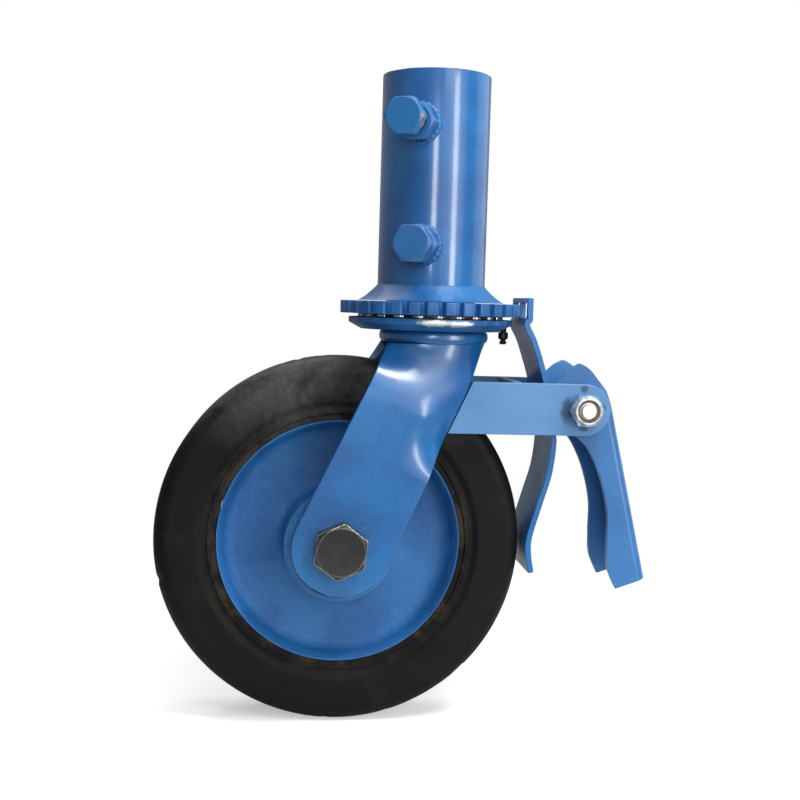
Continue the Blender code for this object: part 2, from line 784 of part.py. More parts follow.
def make_fork_leg(name, side, fork):
    """A pressed leg: lofted from the crown's round to the flat at the axle."""
    mesh = bpy.data.meshes.new(name)
    work = bmesh.new()
    rows = []
    for row in range(LEG_ROWS):
        run = (FLANGE_FADE + LEG_TRIM) * row / (LEG_ROWS - 1) - LEG_TRIM
        corners = []
        for column in range(LEG_COLUMNS + 1):
            share = 2.0 * column / LEG_COLUMNS - 1.0
            x, z = leg_point(run, share)
            corners.append(work.verts.new((x, side * leg_stand(run, share), z)))
        rows.append(corners)
    for upper, lower in zip(rows, rows[1:]):
        for column in range(LEG_COLUMNS):
            work.faces.new((
                upper[column], lower[column], lower[column + 1], upper[column + 1],
            ))
    front = -math.degrees(leg_lean)
    round_end = arc_points((wheel_x, wheel_z), LEG_END_R, front, front - 180.0, 22)
    foot = [work.verts.new((x, side * LEG_OUT, z)) for x, z in round_end]
    work.faces.new(rows[-1] + foot)
    bmesh.ops.recalc_face_normals(work, faces=work.faces)
    outward = sum(face.normal.y * face.calc_area() for face in work.faces)
    if outward * side < 0.0:
        bmesh.ops.reverse_faces(work, faces=work.faces)
    work.to_mesh(mesh)
    work.free()
    shade_round(mesh)
    leg = add_piece(name, mesh, "blue_paint", fork)
    wall = leg.modifiers.new("wall", "SOLIDIFY")
    wall.thickness = LEG_THICKNESS
    wall.offset = -1.0
    wall.use_even_offset = True
    seat = rod_tool(name + "_trim", 2 * CROWN_R, leg_top, leg_top + 4 * LEG_TRIM)
    combine(leg, seat, "DIFFERENCE")
    hole = rod_tool(name + "_axle_hole", AXLE_R + FIT, -LEG_OUT * 1.2, LEG_OUT * 1.2)
    point_near(hole, (wheel_x, 0.0, wheel_z))
    combine(leg, hole, "DIFFERENCE")
    return leg


# Wheel on its axle

def make_axle(fork):
    head_y = LEG_OUT + FIT
    washer_y = head_y + AXLE_WASHER
    nut_y = washer_y + FIT
    length = head_y + nut_y + AXLE_NUT + AXLE_TAIL
    bolt = hex_bolt(
        "axle_bolt", AXLE_AF, AXLE_HEAD, AXLE_R, length, "dark_steel", fork,
        math.radians(30.0) + AXLE_HEAD_TURN,
    )
    point_near(bolt, (wheel_x, -head_y, wheel_z))
    bore = AXLE_R + FIT
    washer = turned_piece(
        "axle_washer", ring_profile(bore, AXLE_WASHER_R, 0.0, AXLE_WASHER),
        "bare_steel", parent=fork,
    )
    point_far(washer, (wheel_x, head_y, wheel_z))
    nut = hex_nut("axle_nut", AXLE_AF, AXLE_NUT, bore, "dark_steel", fork)
    point_far(nut, (wheel_x, nut_y, wheel_z))
    sleeve_half = leg_in - FIT
    sleeve = turned_piece(
        "axle_sleeve", ring_profile(AXLE_R + RUN_FIT, sleeve_r, -sleeve_half, sleeve_half),
        "bare_steel", parent=fork,
    )
    point_near(sleeve, (wheel_x, 0.0, wheel_z))
    for side, place in ((-1.0, "near"), (1.0, "far")):
        shim = turned_piece(
            "hub_washer_" + place,
            ring_profile(sleeve_r + FIT, HUB_WASHER_R, 0.0, HUB_WASHER),
            "bare_steel", parent=fork,
        )
        turn = point_near if side < 0 else point_far
        turn(shim, (wheel_x, side * (hub_half + FIT), wheel_z))


def rim_side(side):
    """Half section of the wheel centre, from the rim's edge to the bore."""
    face = RIM_WIDTH / 2
    web = WEB_THICKNESS / 2
    wall_r = rim_r - RIM_EDGE
    root_r = wall_r - RIM_DRAFT
    rim_root = arc_points((root_r - RIM_FILLET, web + RIM_FILLET), RIM_FILLET, 0.0, -90.0, 2)
    hub_root = arc_points((HUB_R + HUB_FILLET, web + HUB_FILLET), HUB_FILLET, 270.0, 180.0, 2)
    points = [(rim_r, face), (wall_r, face)]
    points += rim_root
    points += hub_root
    points += [(HUB_R, hub_half - HUB_CHAMFER), (HUB_R - HUB_CHAMFER, hub_half)]
    points += [(bush_r + FIT, hub_half)]
    return [(radius, side * height) for radius, height in points]


def make_wheel_centre(wheel):
    points = rim_side(-1.0) + list(reversed(rim_side(1.0)))
    centre = turned_piece("wheel_centre", points, "blue_paint", SEGMENTS_LARGE, parent=wheel)
    point_near(centre, (0.0, 0.0, 0.0))
    return centre


def tyre_side(side):
    """Half section of the tyre, from the tread to the rim."""
    half = TYRE_WIDTH / 2
    shoulder_r = WHEEL_R - TYRE_SHOULDER
    lip_r = rim_r + FIT + LIP_WIDTH
    crown = arc_points((shoulder_r, half - TYRE_SHOULDER), TYRE_SHOULDER, 0.0, 90.0, 4)
    points = crown + [
        (lip_r + LIP_DEPTH, half), (lip_r, half - LIP_DEPTH), (rim_r + FIT, half - LIP_DEPTH),
    ]
    return [(radius, side * height) for radius, height in points]


def make_tyre(wheel):
    points = tyre_side(-1.0) + list(reversed(tyre_side(1.0)))
    tyre = turned_piece("tyre", points, "black_rubber", SEGMENTS_LARGE, parent=wheel)
    point_near(tyre, (0.0, 0.0, 0.0))
    return tyre


def make_bushes(wheel):
    for side, place in ((-1.0, "near"), (1.0, "far")):
        bush = turned_piece(
            "hub_bush_" + place,
            ring_profile(sleeve_r + RUN_FIT, bush_r, -BUSH_LENGTH, 0.0),
            "bronze", parent=wheel,
        )
        turn = point_near if side < 0 else point_far
        turn(bush, (0.0, side * hub_half, 0.0))


# Brake arms and their fasteners

def leg_front_x(height):
    """Front edge of the leg's side view at a height."""
    low, high = 0.0, leg_run
    for _ in range(40):
        run = (low + high) / 2
        if leg_point(run, 1.0)[1] > height:
            low = run
        else:
            high = run
    return leg_point(low, 1.0)[0]


def make_brake_arm(name, side, fork):
    half = ARM_HEIGHT / 2
    top = PIVOT_Z + half
    foot = PIVOT_Z - half
    butt = ARM_WELD_GAP / math.cos(leg_lean)
    outline = [(leg_front_x(top) + butt, top)]
    outline += arc_points((PIVOT_X, PIVOT_Z), half, 90.0, -90.0, 16)
    outline += [(leg_front_x(foot) + butt, foot)]
    mesh = plate_mesh(name, outline, arm_in, arm_out)
    arm = add_piece(name, mesh, "blue_paint", fork)
    if side < 0.0:
        point_near(arm, (0.0, 0.0, 0.0))
    else:
        point_near(arm, (0.0, arm_in + arm_out, 0.0))
    hole = rod_tool(name + "_hole", PIVOT_R + FIT, -2 * arm_out, 2 * arm_out)
    point_near(hole, (PIVOT_X, 0.0, PIVOT_Z))
    combine(arm, hole, "DIFFERENCE")
    return arm


def make_pivot(fork):
    seat = arm_out + FIT
    nut_height = PIVOT_NUT + PIVOT_COLLAR
    length = 2 * seat + nut_height + PIVOT_TAIL
    bolt = hex_bolt("pivot_bolt", PIVOT_AF, PIVOT_HEAD, PIVOT_R, length, "dark_steel", fork)
    point_far(bolt, (PIVOT_X, seat, PIVOT_Z))
    nut = hex_nut("pivot_nut", PIVOT_AF, PIVOT_NUT, PIVOT_R + FIT, "bright_steel", fork)
    collar_r = PIVOT_AF * 0.46
    collar = turned_tool(
        "pivot_nut_collar",
        ring_profile(PIVOT_R + FIT, collar_r, PIVOT_NUT / 2, nut_height),
        closed=True, parent=nut,
    )
    combine(nut, collar, "UNION")
    point_near(nut, (PIVOT_X, -seat, PIVOT_Z))
    for side, place in ((-1.0, "near"), (1.0, "far")):
        washer = turned_piece(
            "pivot_washer_" + place,
            ring_profile(PIVOT_R + FIT, PIVOT_WASHER_R, 0.0, LEVER_SIDE_GAP - 2 * FIT),
            "bare_steel", parent=fork,
        )
        turn = point_near if side < 0 else point_far
        turn(washer, (PIVOT_X, side * (lever_half + FIT), PIVOT_Z))


def make_cross_plate(fork):
    """The plate across the arms that the strip's guide bolt is fixed in."""
    half = PLATE_HEIGHT / 2
    width = arm_in - FIT
    outline = [(-half, -width), (half, -width), (half, width), (-half, width)]
    mesh = plate_mesh("cross_plate", outline, -PLATE_THICKNESS, 0.0)
    plate = add_piece("cross_plate", mesh, "blue_paint", fork)
    plate.location = (plate_x, 0.0, guide_z)
    plate.rotation_euler = (0.0, math.radians(90.0), 0.0)
    hole = rod_tool("cross_plate_hole", GUIDE_R + FIT, -2 * PLATE_THICKNESS, PLATE_THICKNESS)
    hole.parent = plate
    combine(plate, hole, "DIFFERENCE")
    return plate


def make_guide(fork):
    """The bolt that the strip slides on, with its nut and its return spring."""
    seat = cam_x + FIT
    nut_x = plate_x - PLATE_THICKNESS - FIT - GUIDE_NUT
    length = seat - nut_x + GUIDE_TAIL
    bolt = hex_bolt("guide_bolt", GUIDE_AF, GUIDE_HEAD, GUIDE_R, length, "bare_steel", fork)
    bolt.location = (seat, 0.0, guide_z)
    bolt.rotation_euler = (0.0, math.radians(90.0), 0.0)
    nut = hex_nut("guide_nut", GUIDE_AF, GUIDE_NUT, GUIDE_R + FIT, "bare_steel", fork)
    nut.location = (nut_x, 0.0, guide_z)
    nut.rotation_euler = (0.0, math.radians(90.0), 0.0)
    start = plate_x + FIT + SPRING_WIRE_R
    rise = SPRING_LENGTH - 2 * FIT - 2 * SPRING_WIRE_R
    steps = int(SPRING_TURNS * 10)
    points = []
    for step in range(steps + 1):
        turn = 2 * math.pi * SPRING_TURNS * step / steps
        points.append((
            start + rise * step / steps,
            SPRING_COIL_R * math.cos(turn),
            SPRING_COIL_R * math.sin(turn),
        ))
    spring = add_piece(
        "return_spring", wire_mesh("return_spring", points, SPRING_WIRE_R), "bare_steel", fork,
    )
    spring.location = (0.0, 0.0, guide_z)


# Brake lever

def channel_section():
    """U section: web at x = 0, legs running to -X, bends rounded."""
    reach = LEVER_BACK + 1.6 * CAM_REACH
    inner = lever_half - LEVER_SHEET
    bend = LEVER_BEND_R
    root = max(LEVER_BEND_R - LEVER_SHEET, FIT)
    outline = [(-reach, lever_half)]
    outline += arc_points((-bend, lever_half - bend), bend, 90.0, 0.0, 4)
    outline += arc_points((-bend, bend - lever_half), bend, 0.0, -90.0, 4)
    outline += [(-reach, -lever_half), (-reach, -inner)]
    outline += arc_points((-LEVER_SHEET - root, root - inner), root, -90.0, 0.0, 2)
    outline += arc_points((-LEVER_SHEET - root, inner - root), root, 0.0, 90.0, 2)
    outline += [(-reach, inner)]
    return outline


def lever_back_x(height):
    """Outer face of the web at a height from the pivot."""
    return LEVER_BACK - height * math.tan(LEVER_ANGLE)


def lever_outline():
    """Side view of the lever about its pivot: nose, back, foot, then the toe side."""
    face = []
    for height, slack in CAM_FACE:
        raised = Vector((slack - 1.0, height)) * CAM_REACH
        raised.rotate(Matrix.Rotation(-LOCK_ANGLE, 2))
        face.append((raised.x, raised.y))
    crown = [(x * CAM_REACH, z * CAM_REACH) for x, z in CAM_CROWN]
    foot_z = LEVER_FOOT_RISE - LEVER_DROP
    back = [(LEVER_BACK, 0.0), (lever_back_x(foot_z), foot_z)]
    toe = []
    for share, depth in LEVER_TOE:
        height = -LEVER_DROP * share
        toe.append((lever_back_x(height) - LEVER_BACK * depth, height))
    heel = arc_points((0.0, 0.0), LEVER_HEEL_R, 245.0, 160.0, 5)
    return face + crown + back + smooth_path(toe, 2) + heel


def make_brake_lever(pivot):
    blank = plate_mesh("brake_lever", channel_section(), -1.2 * LEVER_DROP, 1.6 * CAM_REACH)
    lever = add_piece("brake_lever", blank, "blue_paint", pivot)
    lever.location = (LEVER_BACK, 0.0, 0.0)
    lever.rotation_euler = (0.0, -LEVER_ANGLE, 0.0)
    side = add_tool("lever_side", plate_mesh(
        "lever_side", lever_outline(), -2 * lever_half, 2 * lever_half), pivot)
    point_near(side, (0.0, 0.0, 0.0))
    combine(lever, side, "INTERSECT")
    hole = rod_tool("lever_hole", PIVOT_R + LEVER_HOLE_PLAY, -arm_out, arm_out, parent=pivot)
    point_near(hole, (0.0, 0.0, 0.0))
    combine(lever, hole, "DIFFERENCE")
    return lever


# Brake strip

def strip_path():
    """Right face of the strip in side view, from the ring down to the tyre."""
    pad_foot = ring_foot - WINDOW_CLEARANCE
    arm_top = PIVOT_Z + ARM_HEIGHT / 2
    arm_foot = PIVOT_Z - ARM_HEIGHT / 2
    flat = GUIDE_AF * 0.65
    bow_x = cam_x + STRIP_BOW
    bow_z, bend_z, turn_z = [arm_foot + (wheel_z - arm_foot) * share for share in STRIP_BENDS]
    return smooth_path([
        (pad_x, STRIP_RISE), (pad_x, pad_foot), (pad_x - STRIP_NECK, pad_foot - STRIP_SHEET),
        (pad_x * 0.7 + cam_x * 0.3, pad_foot * 0.65 + arm_top * 0.35),
        (cam_x - STRIP_NECK * 0.5, arm_top * 0.9 + pad_foot * 0.1),
        (cam_x, guide_z + flat), (cam_x, guide_z), (cam_x, guide_z - flat),
        (bow_x - STRIP_NECK * 0.5, arm_foot), (bow_x, bow_z),
        (bow_x - STRIP_KICK, bend_z), (shoe_x + STRIP_BOW * 0.85, turn_z),
        (shoe_x, wheel_z), (shoe_x + STRIP_KICK, wheel_z - STRIP_TAIL),
    ], 3)


def make_brake_strip(slide):
    name = "brake_strip"
    mesh = bpy.data.meshes.new(name)
    work = bmesh.new()
    rows = []
    for x, z in strip_path():
        rows.append([
            work.verts.new((x - slide.location.x, -lever_half, z - slide.location.z)),
            work.verts.new((x - slide.location.x, lever_half, z - slide.location.z)),
        ])
    for upper, lower in zip(rows, rows[1:]):
        work.faces.new((upper[0], lower[0], lower[1], upper[1]))
    bmesh.ops.recalc_face_normals(work, faces=work.faces)
    if sum(face.normal.x for face in work.faces) < 0.0:
        bmesh.ops.reverse_faces(work, faces=work.faces)
    work.to_mesh(mesh)
    work.free()
    shade_round(mesh)
    strip = add_piece(name, mesh, "blue_paint", slide)
    sheet = strip.modifiers.new("sheet", "SOLIDIFY")
    sheet.thickness = STRIP_SHEET
    sheet.offset = -1.0
    sheet.use_even_offset = True
    low = ring_foot - WINDOW_CLEARANCE
    high = WINDOW_CLEARANCE
    for side, place in ((-1.0, "near"), (1.0, "far")):
        inner = BAR_WIDTH / 2
        outer = lever_half - WINDOW_SIDE
        edges = sorted((side * inner, side * outer))
        outline = [(edges[0], low), (edges[1], low), (edges[1], high), (edges[0], high)]
        window = add_tool("strip_window_" + place, plate_mesh(
            "strip_window_" + place, outline, pad_x - 4 * STRIP_SHEET, pad_x + 4 * STRIP_SHEET))
        window.rotation_euler = (math.radians(90.0), 0.0, math.radians(90.0))
        combine(strip, window, "DIFFERENCE")
    hole = rod_tool("strip_hole", GUIDE_R + GUIDE_HOLE_PLAY, -4 * STRIP_SHEET, 4 * STRIP_SHEET)
    hole.location = (cam_x, 0.0, guide_z)
    hole.rotation_euler = (0.0, math.radians(90.0), 0.0)
    combine(strip, hole, "DIFFERENCE")
    return strip


# The whole castor

clear_scene()
castor = new_collection("scaffold_castor")
tools = new_collection("cutters")

make_socket_tube()
for clamp_place in clamp_heights:
    make_clamp_nut(clamp_place)
    make_clamp_bolt(clamp_place)
make_toothed_ring()
make_kingpin()
make_thrust_cup()

swivel_axis = add_axis("swivel_axis", (0.0, 0.0, 0.0))
make_race_dish(swivel_axis)
make_balls(swivel_axis)
make_grease_nipple(swivel_axis)
make_fork_crown(swivel_axis)
make_fork_leg("fork_leg_near", -1.0, swivel_axis)
make_fork_leg("fork_leg_far", 1.0, swivel_axis)
make_axle(swivel_axis)
make_brake_arm("brake_arm_near", -1.0, swivel_axis)
make_brake_arm("brake_arm_far", 1.0, swivel_axis)
make_pivot(swivel_axis)
make_cross_plate(swivel_axis)
make_guide(swivel_axis)

wheel_axis = add_axis("wheel_axis", (wheel_x, 0.0, wheel_z), swivel_axis)
make_wheel_centre(wheel_axis)
make_tyre(wheel_axis)
make_bushes(wheel_axis)

lever_axis = add_axis("lever_axis", (PIVOT_X, 0.0, PIVOT_Z), swivel_axis)
make_brake_lever(lever_axis)

strip_slide = add_axis("strip_slide", (cam_x, 0.0, PIVOT_Z), swivel_axis)
make_brake_strip(strip_slide)
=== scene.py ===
import json
from math import asin, atan2, cos, degrees, hypot, pi, radians, sin, sqrt, tan, tau

import bmesh
import bpy
from mathutils import Matrix, Vector
from mathutils.noise import noise

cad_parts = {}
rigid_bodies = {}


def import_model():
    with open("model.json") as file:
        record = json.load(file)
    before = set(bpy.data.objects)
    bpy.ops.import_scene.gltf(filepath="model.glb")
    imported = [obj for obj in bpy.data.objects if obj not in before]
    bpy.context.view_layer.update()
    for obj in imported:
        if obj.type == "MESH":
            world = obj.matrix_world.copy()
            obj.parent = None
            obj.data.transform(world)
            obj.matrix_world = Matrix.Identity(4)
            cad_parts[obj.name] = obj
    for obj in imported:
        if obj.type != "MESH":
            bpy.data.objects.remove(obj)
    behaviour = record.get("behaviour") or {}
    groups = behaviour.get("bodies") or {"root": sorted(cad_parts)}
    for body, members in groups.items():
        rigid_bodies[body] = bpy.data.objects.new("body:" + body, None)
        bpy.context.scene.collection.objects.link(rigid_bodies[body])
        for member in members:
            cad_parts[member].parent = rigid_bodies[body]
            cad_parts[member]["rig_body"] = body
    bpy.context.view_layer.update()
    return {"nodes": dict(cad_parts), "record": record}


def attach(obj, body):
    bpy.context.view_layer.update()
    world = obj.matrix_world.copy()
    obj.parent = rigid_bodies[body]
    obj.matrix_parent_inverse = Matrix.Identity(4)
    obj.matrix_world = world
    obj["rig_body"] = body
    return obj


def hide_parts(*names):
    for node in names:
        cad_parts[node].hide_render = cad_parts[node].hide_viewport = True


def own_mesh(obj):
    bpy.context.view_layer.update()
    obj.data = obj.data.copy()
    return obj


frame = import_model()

# Scaffold castor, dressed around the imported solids. Metres, +Z up, near side at -Y.

scene = bpy.context.scene
ops = bmesh.ops
mm = 0.001
gap = 0.0003         # between pieces that touch on the real castor
nearby = 0.000004    # points closer than this are one point
nowhere = (0, 0, 0)
slotOf = {part["node"]: part["material_slot"] for part in frame["record"]["subparts"]}
nearTurn = Matrix.Rotation(radians(90), 4, "X")   # +Z to the near side
farTurn = Matrix.Rotation(radians(-90), 4, "X")   # +Z to the far side
rightTurn = Matrix.Rotation(radians(90), 4, "Y")  # +Z to +X
sides = ((-1, "Near", nearTurn), (1, "Far", farTurn))


# node helpers; they add to the tree that newGroup or newMaterial has just made

def feed(node, inputs):
    for key, value in inputs.items():
        if isinstance(value, bpy.types.NodeSocket):
            tree.links.new(value, node.inputs[key])
        else:
            node.inputs[key].default_value = value


def put(kind, inputs=None, **settings):
    node = tree.nodes.new("ShaderNode" + kind)
    for key, value in settings.items():
        setattr(node, key, value)
    feed(node, inputs or {})
    return node


def calc(operation, a, b, clamp=False):
    return put("Math", {0: a, 1: b}, operation=operation, use_clamp=clamp).outputs[0]


def plus(a, b):
    return calc("ADD", a, b)


def less(a, b, clamp=False):
    return calc("SUBTRACT", a, b, clamp)


def times(a, b):
    return calc("MULTIPLY", a, b)


def vectorCalc(operation, a, b=nowhere, output="Vector"):
    return put("VectorMath", {0: a, 1: b}, operation=operation).outputs[output]


def blend(factor, a, b):
    return put("Mix", {0: factor, 6: a, 7: b}, data_type="RGBA").outputs[2]


def band(value, low, high, start=0, end=1):
    return put("MapRange", {
        "Value": value, "From Min": low, "From Max": high, "To Min": start, "To Max": end},
        interpolation_type="SMOOTHSTEP").outputs["Result"]


def cloud(vector, scale, detail=3, rough=0.5, distort=0):
    return put("TexNoise", {
        "Vector": vector, "Scale": scale, "Detail": detail, "Roughness": rough,
        "Distortion": distort}).outputs["Fac"]


def bumped(height, strength, distance):
    return put("Bump", {"Height": height, "Strength": strength, "Distance": distance}).outputs[0]


def newGroup(name, inputs, outputs):
    global tree
    tree = bpy.data.node_groups.new(name, "ShaderNodeTree")
    for label, value in inputs.items():
        kind = "Vector" if isinstance(value, tuple) else "Float"
        socket = tree.interface.new_socket(label, in_out="INPUT", socket_type="NodeSocket" + kind)
        socket.default_value = value
    for label in outputs:
        tree.interface.new_socket(label, in_out="OUTPUT", socket_type="NodeSocketFloat")
    return tree.nodes.new("NodeGroupInput").outputs, tree.nodes.new("NodeGroupOutput")


def place(groupTree, inputs):
    return put("Group", inputs, node_tree=groupTree).outputs


# shared effects

def makeEdgeWear():
    given, out = newGroup(
        "edgeWear", {"Vector": nowhere, "Reach": 0.0008, "Amount": 0.5, "Patch Scale": 90}, ["Mask"])
    rounded = put("Bevel", {"Radius": given["Reach"]}, samples=4)
    flat = put("NewGeometry")
    along = vectorCalc("DOT_PRODUCT", rounded.outputs[0], flat.outputs["Normal"], "Value")
    edge = band(less(1, along), 0.02, 0.16)
    patches = cloud(given["Vector"], given["Patch Scale"], 4, 0.6)
    fine = cloud(given["Vector"], 900, 2, 0.6)
    mixed = plus(times(patches, 0.75), times(fine, 0.25))
    level = times(less(1, given["Amount"]), 0.75)
    shown = band(less(mixed, level), 0.1, 0.2)
    feed(out, {"Mask": times(edge, shown)})
    return tree


def makePaintSkin():
    given, out = newGroup(
        "paintSkin", {"Vector": nowhere, "Lump Scale": 160, "Grit": 0.3},
        ["Tone", "Specks", "Scuffs", "Height"])
    spot = given["Vector"]
    stretched = put("Mapping", {
        "Vector": spot, "Scale": (60, 60, 420), "Rotation": (0.3, 0.5, 0.2)}).outputs[0]
    lines = band(cloud(stretched, 1, 3, 0.7), 0.64, 0.72)
    where = band(cloud(spot, 38, 3, 0.6), 0.52, 0.66)
    grit = times(cloud(spot, 1100, 3, 0.7), given["Grit"])
    feed(out, {
        "Tone": cloud(spot, 22, 4, 0.55),
        "Specks": band(cloud(spot, 620, 2, 0.6), 0.66, 0.74),
        "Scuffs": times(lines, where),
        "Height": plus(cloud(spot, given["Lump Scale"]), grit)})
    return tree


def makeSpot():
    given, out = newGroup(
        "wornSpot",
        {"Vector": nowhere, "Centre": nowhere, "Size": (0.01, 0.01, 0.01), "Patch Scale": 300}, ["Mask"])
    away = vectorCalc("SUBTRACT", given["Vector"], given["Centre"])
    share = vectorCalc("DIVIDE", away, given["Size"])
    distance = vectorCalc("LENGTH", share, output="Value")
    ragged = cloud(given["Vector"], given["Patch Scale"], 4, 0.65)
    feed(out, {"Mask": band(plus(distance, times(ragged, 1.2)), 1.7, 1.1)})
    return tree


edgeWear = makeEdgeWear()
paintSkin = makePaintSkin()
wornSpot = makeSpot()
print("shared effects made")


# materials

def newMaterial(name):
    global tree
    material = bpy.data.materials.new(name)
    material.use_nodes = True
    tree = material.node_tree
    spot = put("TexCoord").outputs["Object"]
    return material, tree.nodes["Principled BSDF"], spot


def joinSpots(spot, mask, spots):
    for centre, size in spots:
        one = place(wornSpot, {"Vector": spot, "Centre": centre, "Size": size})[0]
        mask = calc("MAXIMUM", mask, one)
    return mask


# dark is the colour of the dark spots; on the brake arms it is painted shadow
paint = dict(
    deep=(0.0062, 0.082, 0.262, 1), light=(0.0125, 0.132, 0.355, 1), dust=(0.15, 0.31, 0.5, 1),
    dark=(0.008, 0.026, 0.07, 1), bare=(0.3, 0.285, 0.265, 1), over=(0.075, 0.18, 0.33, 1))


def makePaint(name, rough=0.34, lumpScale=160, grit=0.3, bump=0.12, depth=0.0005, wear=0.3,
              reach=0.0007, bareSpots=(), darkSpots=(), lift=0, coat=0.35, coatRough=0.18, dusty=0,
              bare=paint["bare"]):
    material, shader, spot = newMaterial(name)
    skin = place(paintSkin, {"Vector": spot, "Lump Scale": lumpScale, "Grit": grit})
    edges = place(edgeWear, {"Vector": spot, "Reach": reach, "Amount": wear})[0]
    worn = joinSpots(spot, edges, bareSpots)
    # dark spots: patches of the dark colour; on the brake arms they are painted shadow of the pivot nut
    dark = joinSpots(spot, 0, darkSpots)
    colour = paint["deep"]
    for share, layer in (
            (band(skin["Tone"], 0.36, 0.64, lift, 1), paint["light"]),
            (band(skin["Tone"], 0.3, 0.7, dusty * 0.7, dusty), paint["dust"]),
            (times(skin["Specks"], 0.22), paint["dust"]),
            (times(skin["Scuffs"], 0.4), paint["dust"]),
            (times(dark, 0.8), paint["dark"]), (worn, bare)):
        colour = blend(share, colour, layer)
    roughness = band(skin["Tone"], 0.3, 0.7, rough + 0.08, rough - 0.04)
    height = less(skin["Height"], times(worn, 0.6))
    feed(shader, {
        "Base Color": colour, "Metallic": times(worn, 0.85),
        "Roughness": plus(roughness, times(skin["Scuffs"], 0.2)),
        "Normal": bumped(height, bump, depth), "Coat Weight": coat, "Coat Roughness": coatRough})
    return material


def makeSteel(name, base, worn, rough, wear=0.45, grime=0.4, reach=0.0008, metallic=1, clean=()):
    material, shader, spot = newMaterial(name)
    patches = band(cloud(spot, 120, 5, 0.65), 0.42, 0.62)
    fine = cloud(spot, 1300, 3, 0.6)
    edges = place(edgeWear, {
        "Vector": spot, "Reach": reach, "Amount": wear, "Patch Scale": 160})[0]
    grimy = (base[0] * 0.35, base[1] * 0.32, base[2] * 0.28, 1)
    shade = blend(times(patches, grime), base, grimy)
    for share in (times(fine, 0.1), edges):
        shade = blend(share, shade, worn)
    if clean:        # painted over, but for these spots
        bare = joinSpots(spot, 0, clean)
        shade = blend(bare, paint["over"], shade)
        metallic = times(bare, metallic)
    roughness = plus(rough, times(patches, 0.22))
    feed(shader, {
        "Base Color": shade, "Metallic": metallic,
        "Roughness": less(roughness, times(edges, 0.12), clamp=True),
        "Normal": bumped(plus(fine, patches), 0.15, 0.0002)})
    return material


# pale: painted sheen on the tyre's top, and the pale dust flecks
rubber = dict(
    black=(0.0034, 0.0035, 0.0036, 1), grey=(0.014, 0.014, 0.014, 1), brown=(0.046, 0.034, 0.022, 1),
    pale=(0.16, 0.16, 0.17, 1), centre=(-0.0497, 0, -0.1328), lip=(0.0665, 0.0775))


def makeRubber():
    material, shader, spot = newMaterial("blackRubber")
    fromHub = vectorCalc("SUBTRACT", spot, rubber["centre"])
    flat = vectorCalc("MULTIPLY", fromHub, (1, 0, 1))
    radius = vectorCalc("LENGTH", flat, output="Value")
    heading = vectorCalc("MULTIPLY", vectorCalc("NORMALIZE", flat), (5, 5, 5))
    across = put("CombineXYZ", {"Y": times(radius, 260)}).outputs[0]
    rings = cloud(vectorCalc("ADD", heading, across), 1, 4, 0.6)
    smears = cloud(spot, 26, 5, 0.62, 0.6)
    grain = cloud(spot, 1500, 3, 0.7)
    crumbs = cloud(spot, 420, 4, 0.7)
    dust = times(band(smears, 0.46, 0.72), band(rings, 0.35, 0.75, 0.45, 1))
    # the tyre's top is paler from 45 mm above the hub, broken up by the smears: painted sheen of the
    # overhead light on the shoulder
    top = put("SeparateXYZ", {0: fromHub}).outputs["Z"]
    worn = times(band(smears, 0.34, 0.6), band(crumbs, 0.3, 0.7, 0.6, 1))
    paintedTopSheen = times(band(top, 0.045, 0.085), worn)
    low, high = rubber["lip"]
    lip = times(band(radius, high, low), band(radius, low - 0.003, low))
    scuffed = times(lip, band(cloud(spot, 70, 4, 0.65), 0.46, 0.64))
    flecks = times(band(crumbs, 0.68, 0.76), band(smears, 0.45, 0.6))
    colour = rubber["black"]
    for mask, share, layer in (
            (dust, 0.75, "grey"), (paintedTopSheen, 0.34, "pale"), (scuffed, 0.65, "brown"), (flecks, 0.55, "pale")):
        colour = blend(times(mask, share), colour, rubber[layer])
    height = plus(times(crumbs, 0.7), times(grain, 0.3))
    height = plus(height, times(rings, 0.35))
    feed(shader, {
        "Base Color": colour, "Roughness": band(dust, 0, 1, 0.52, 0.82),
        "Normal": bumped(height, 0.55, 0.0006), "Specular IOR Level": 0.13})
    return material


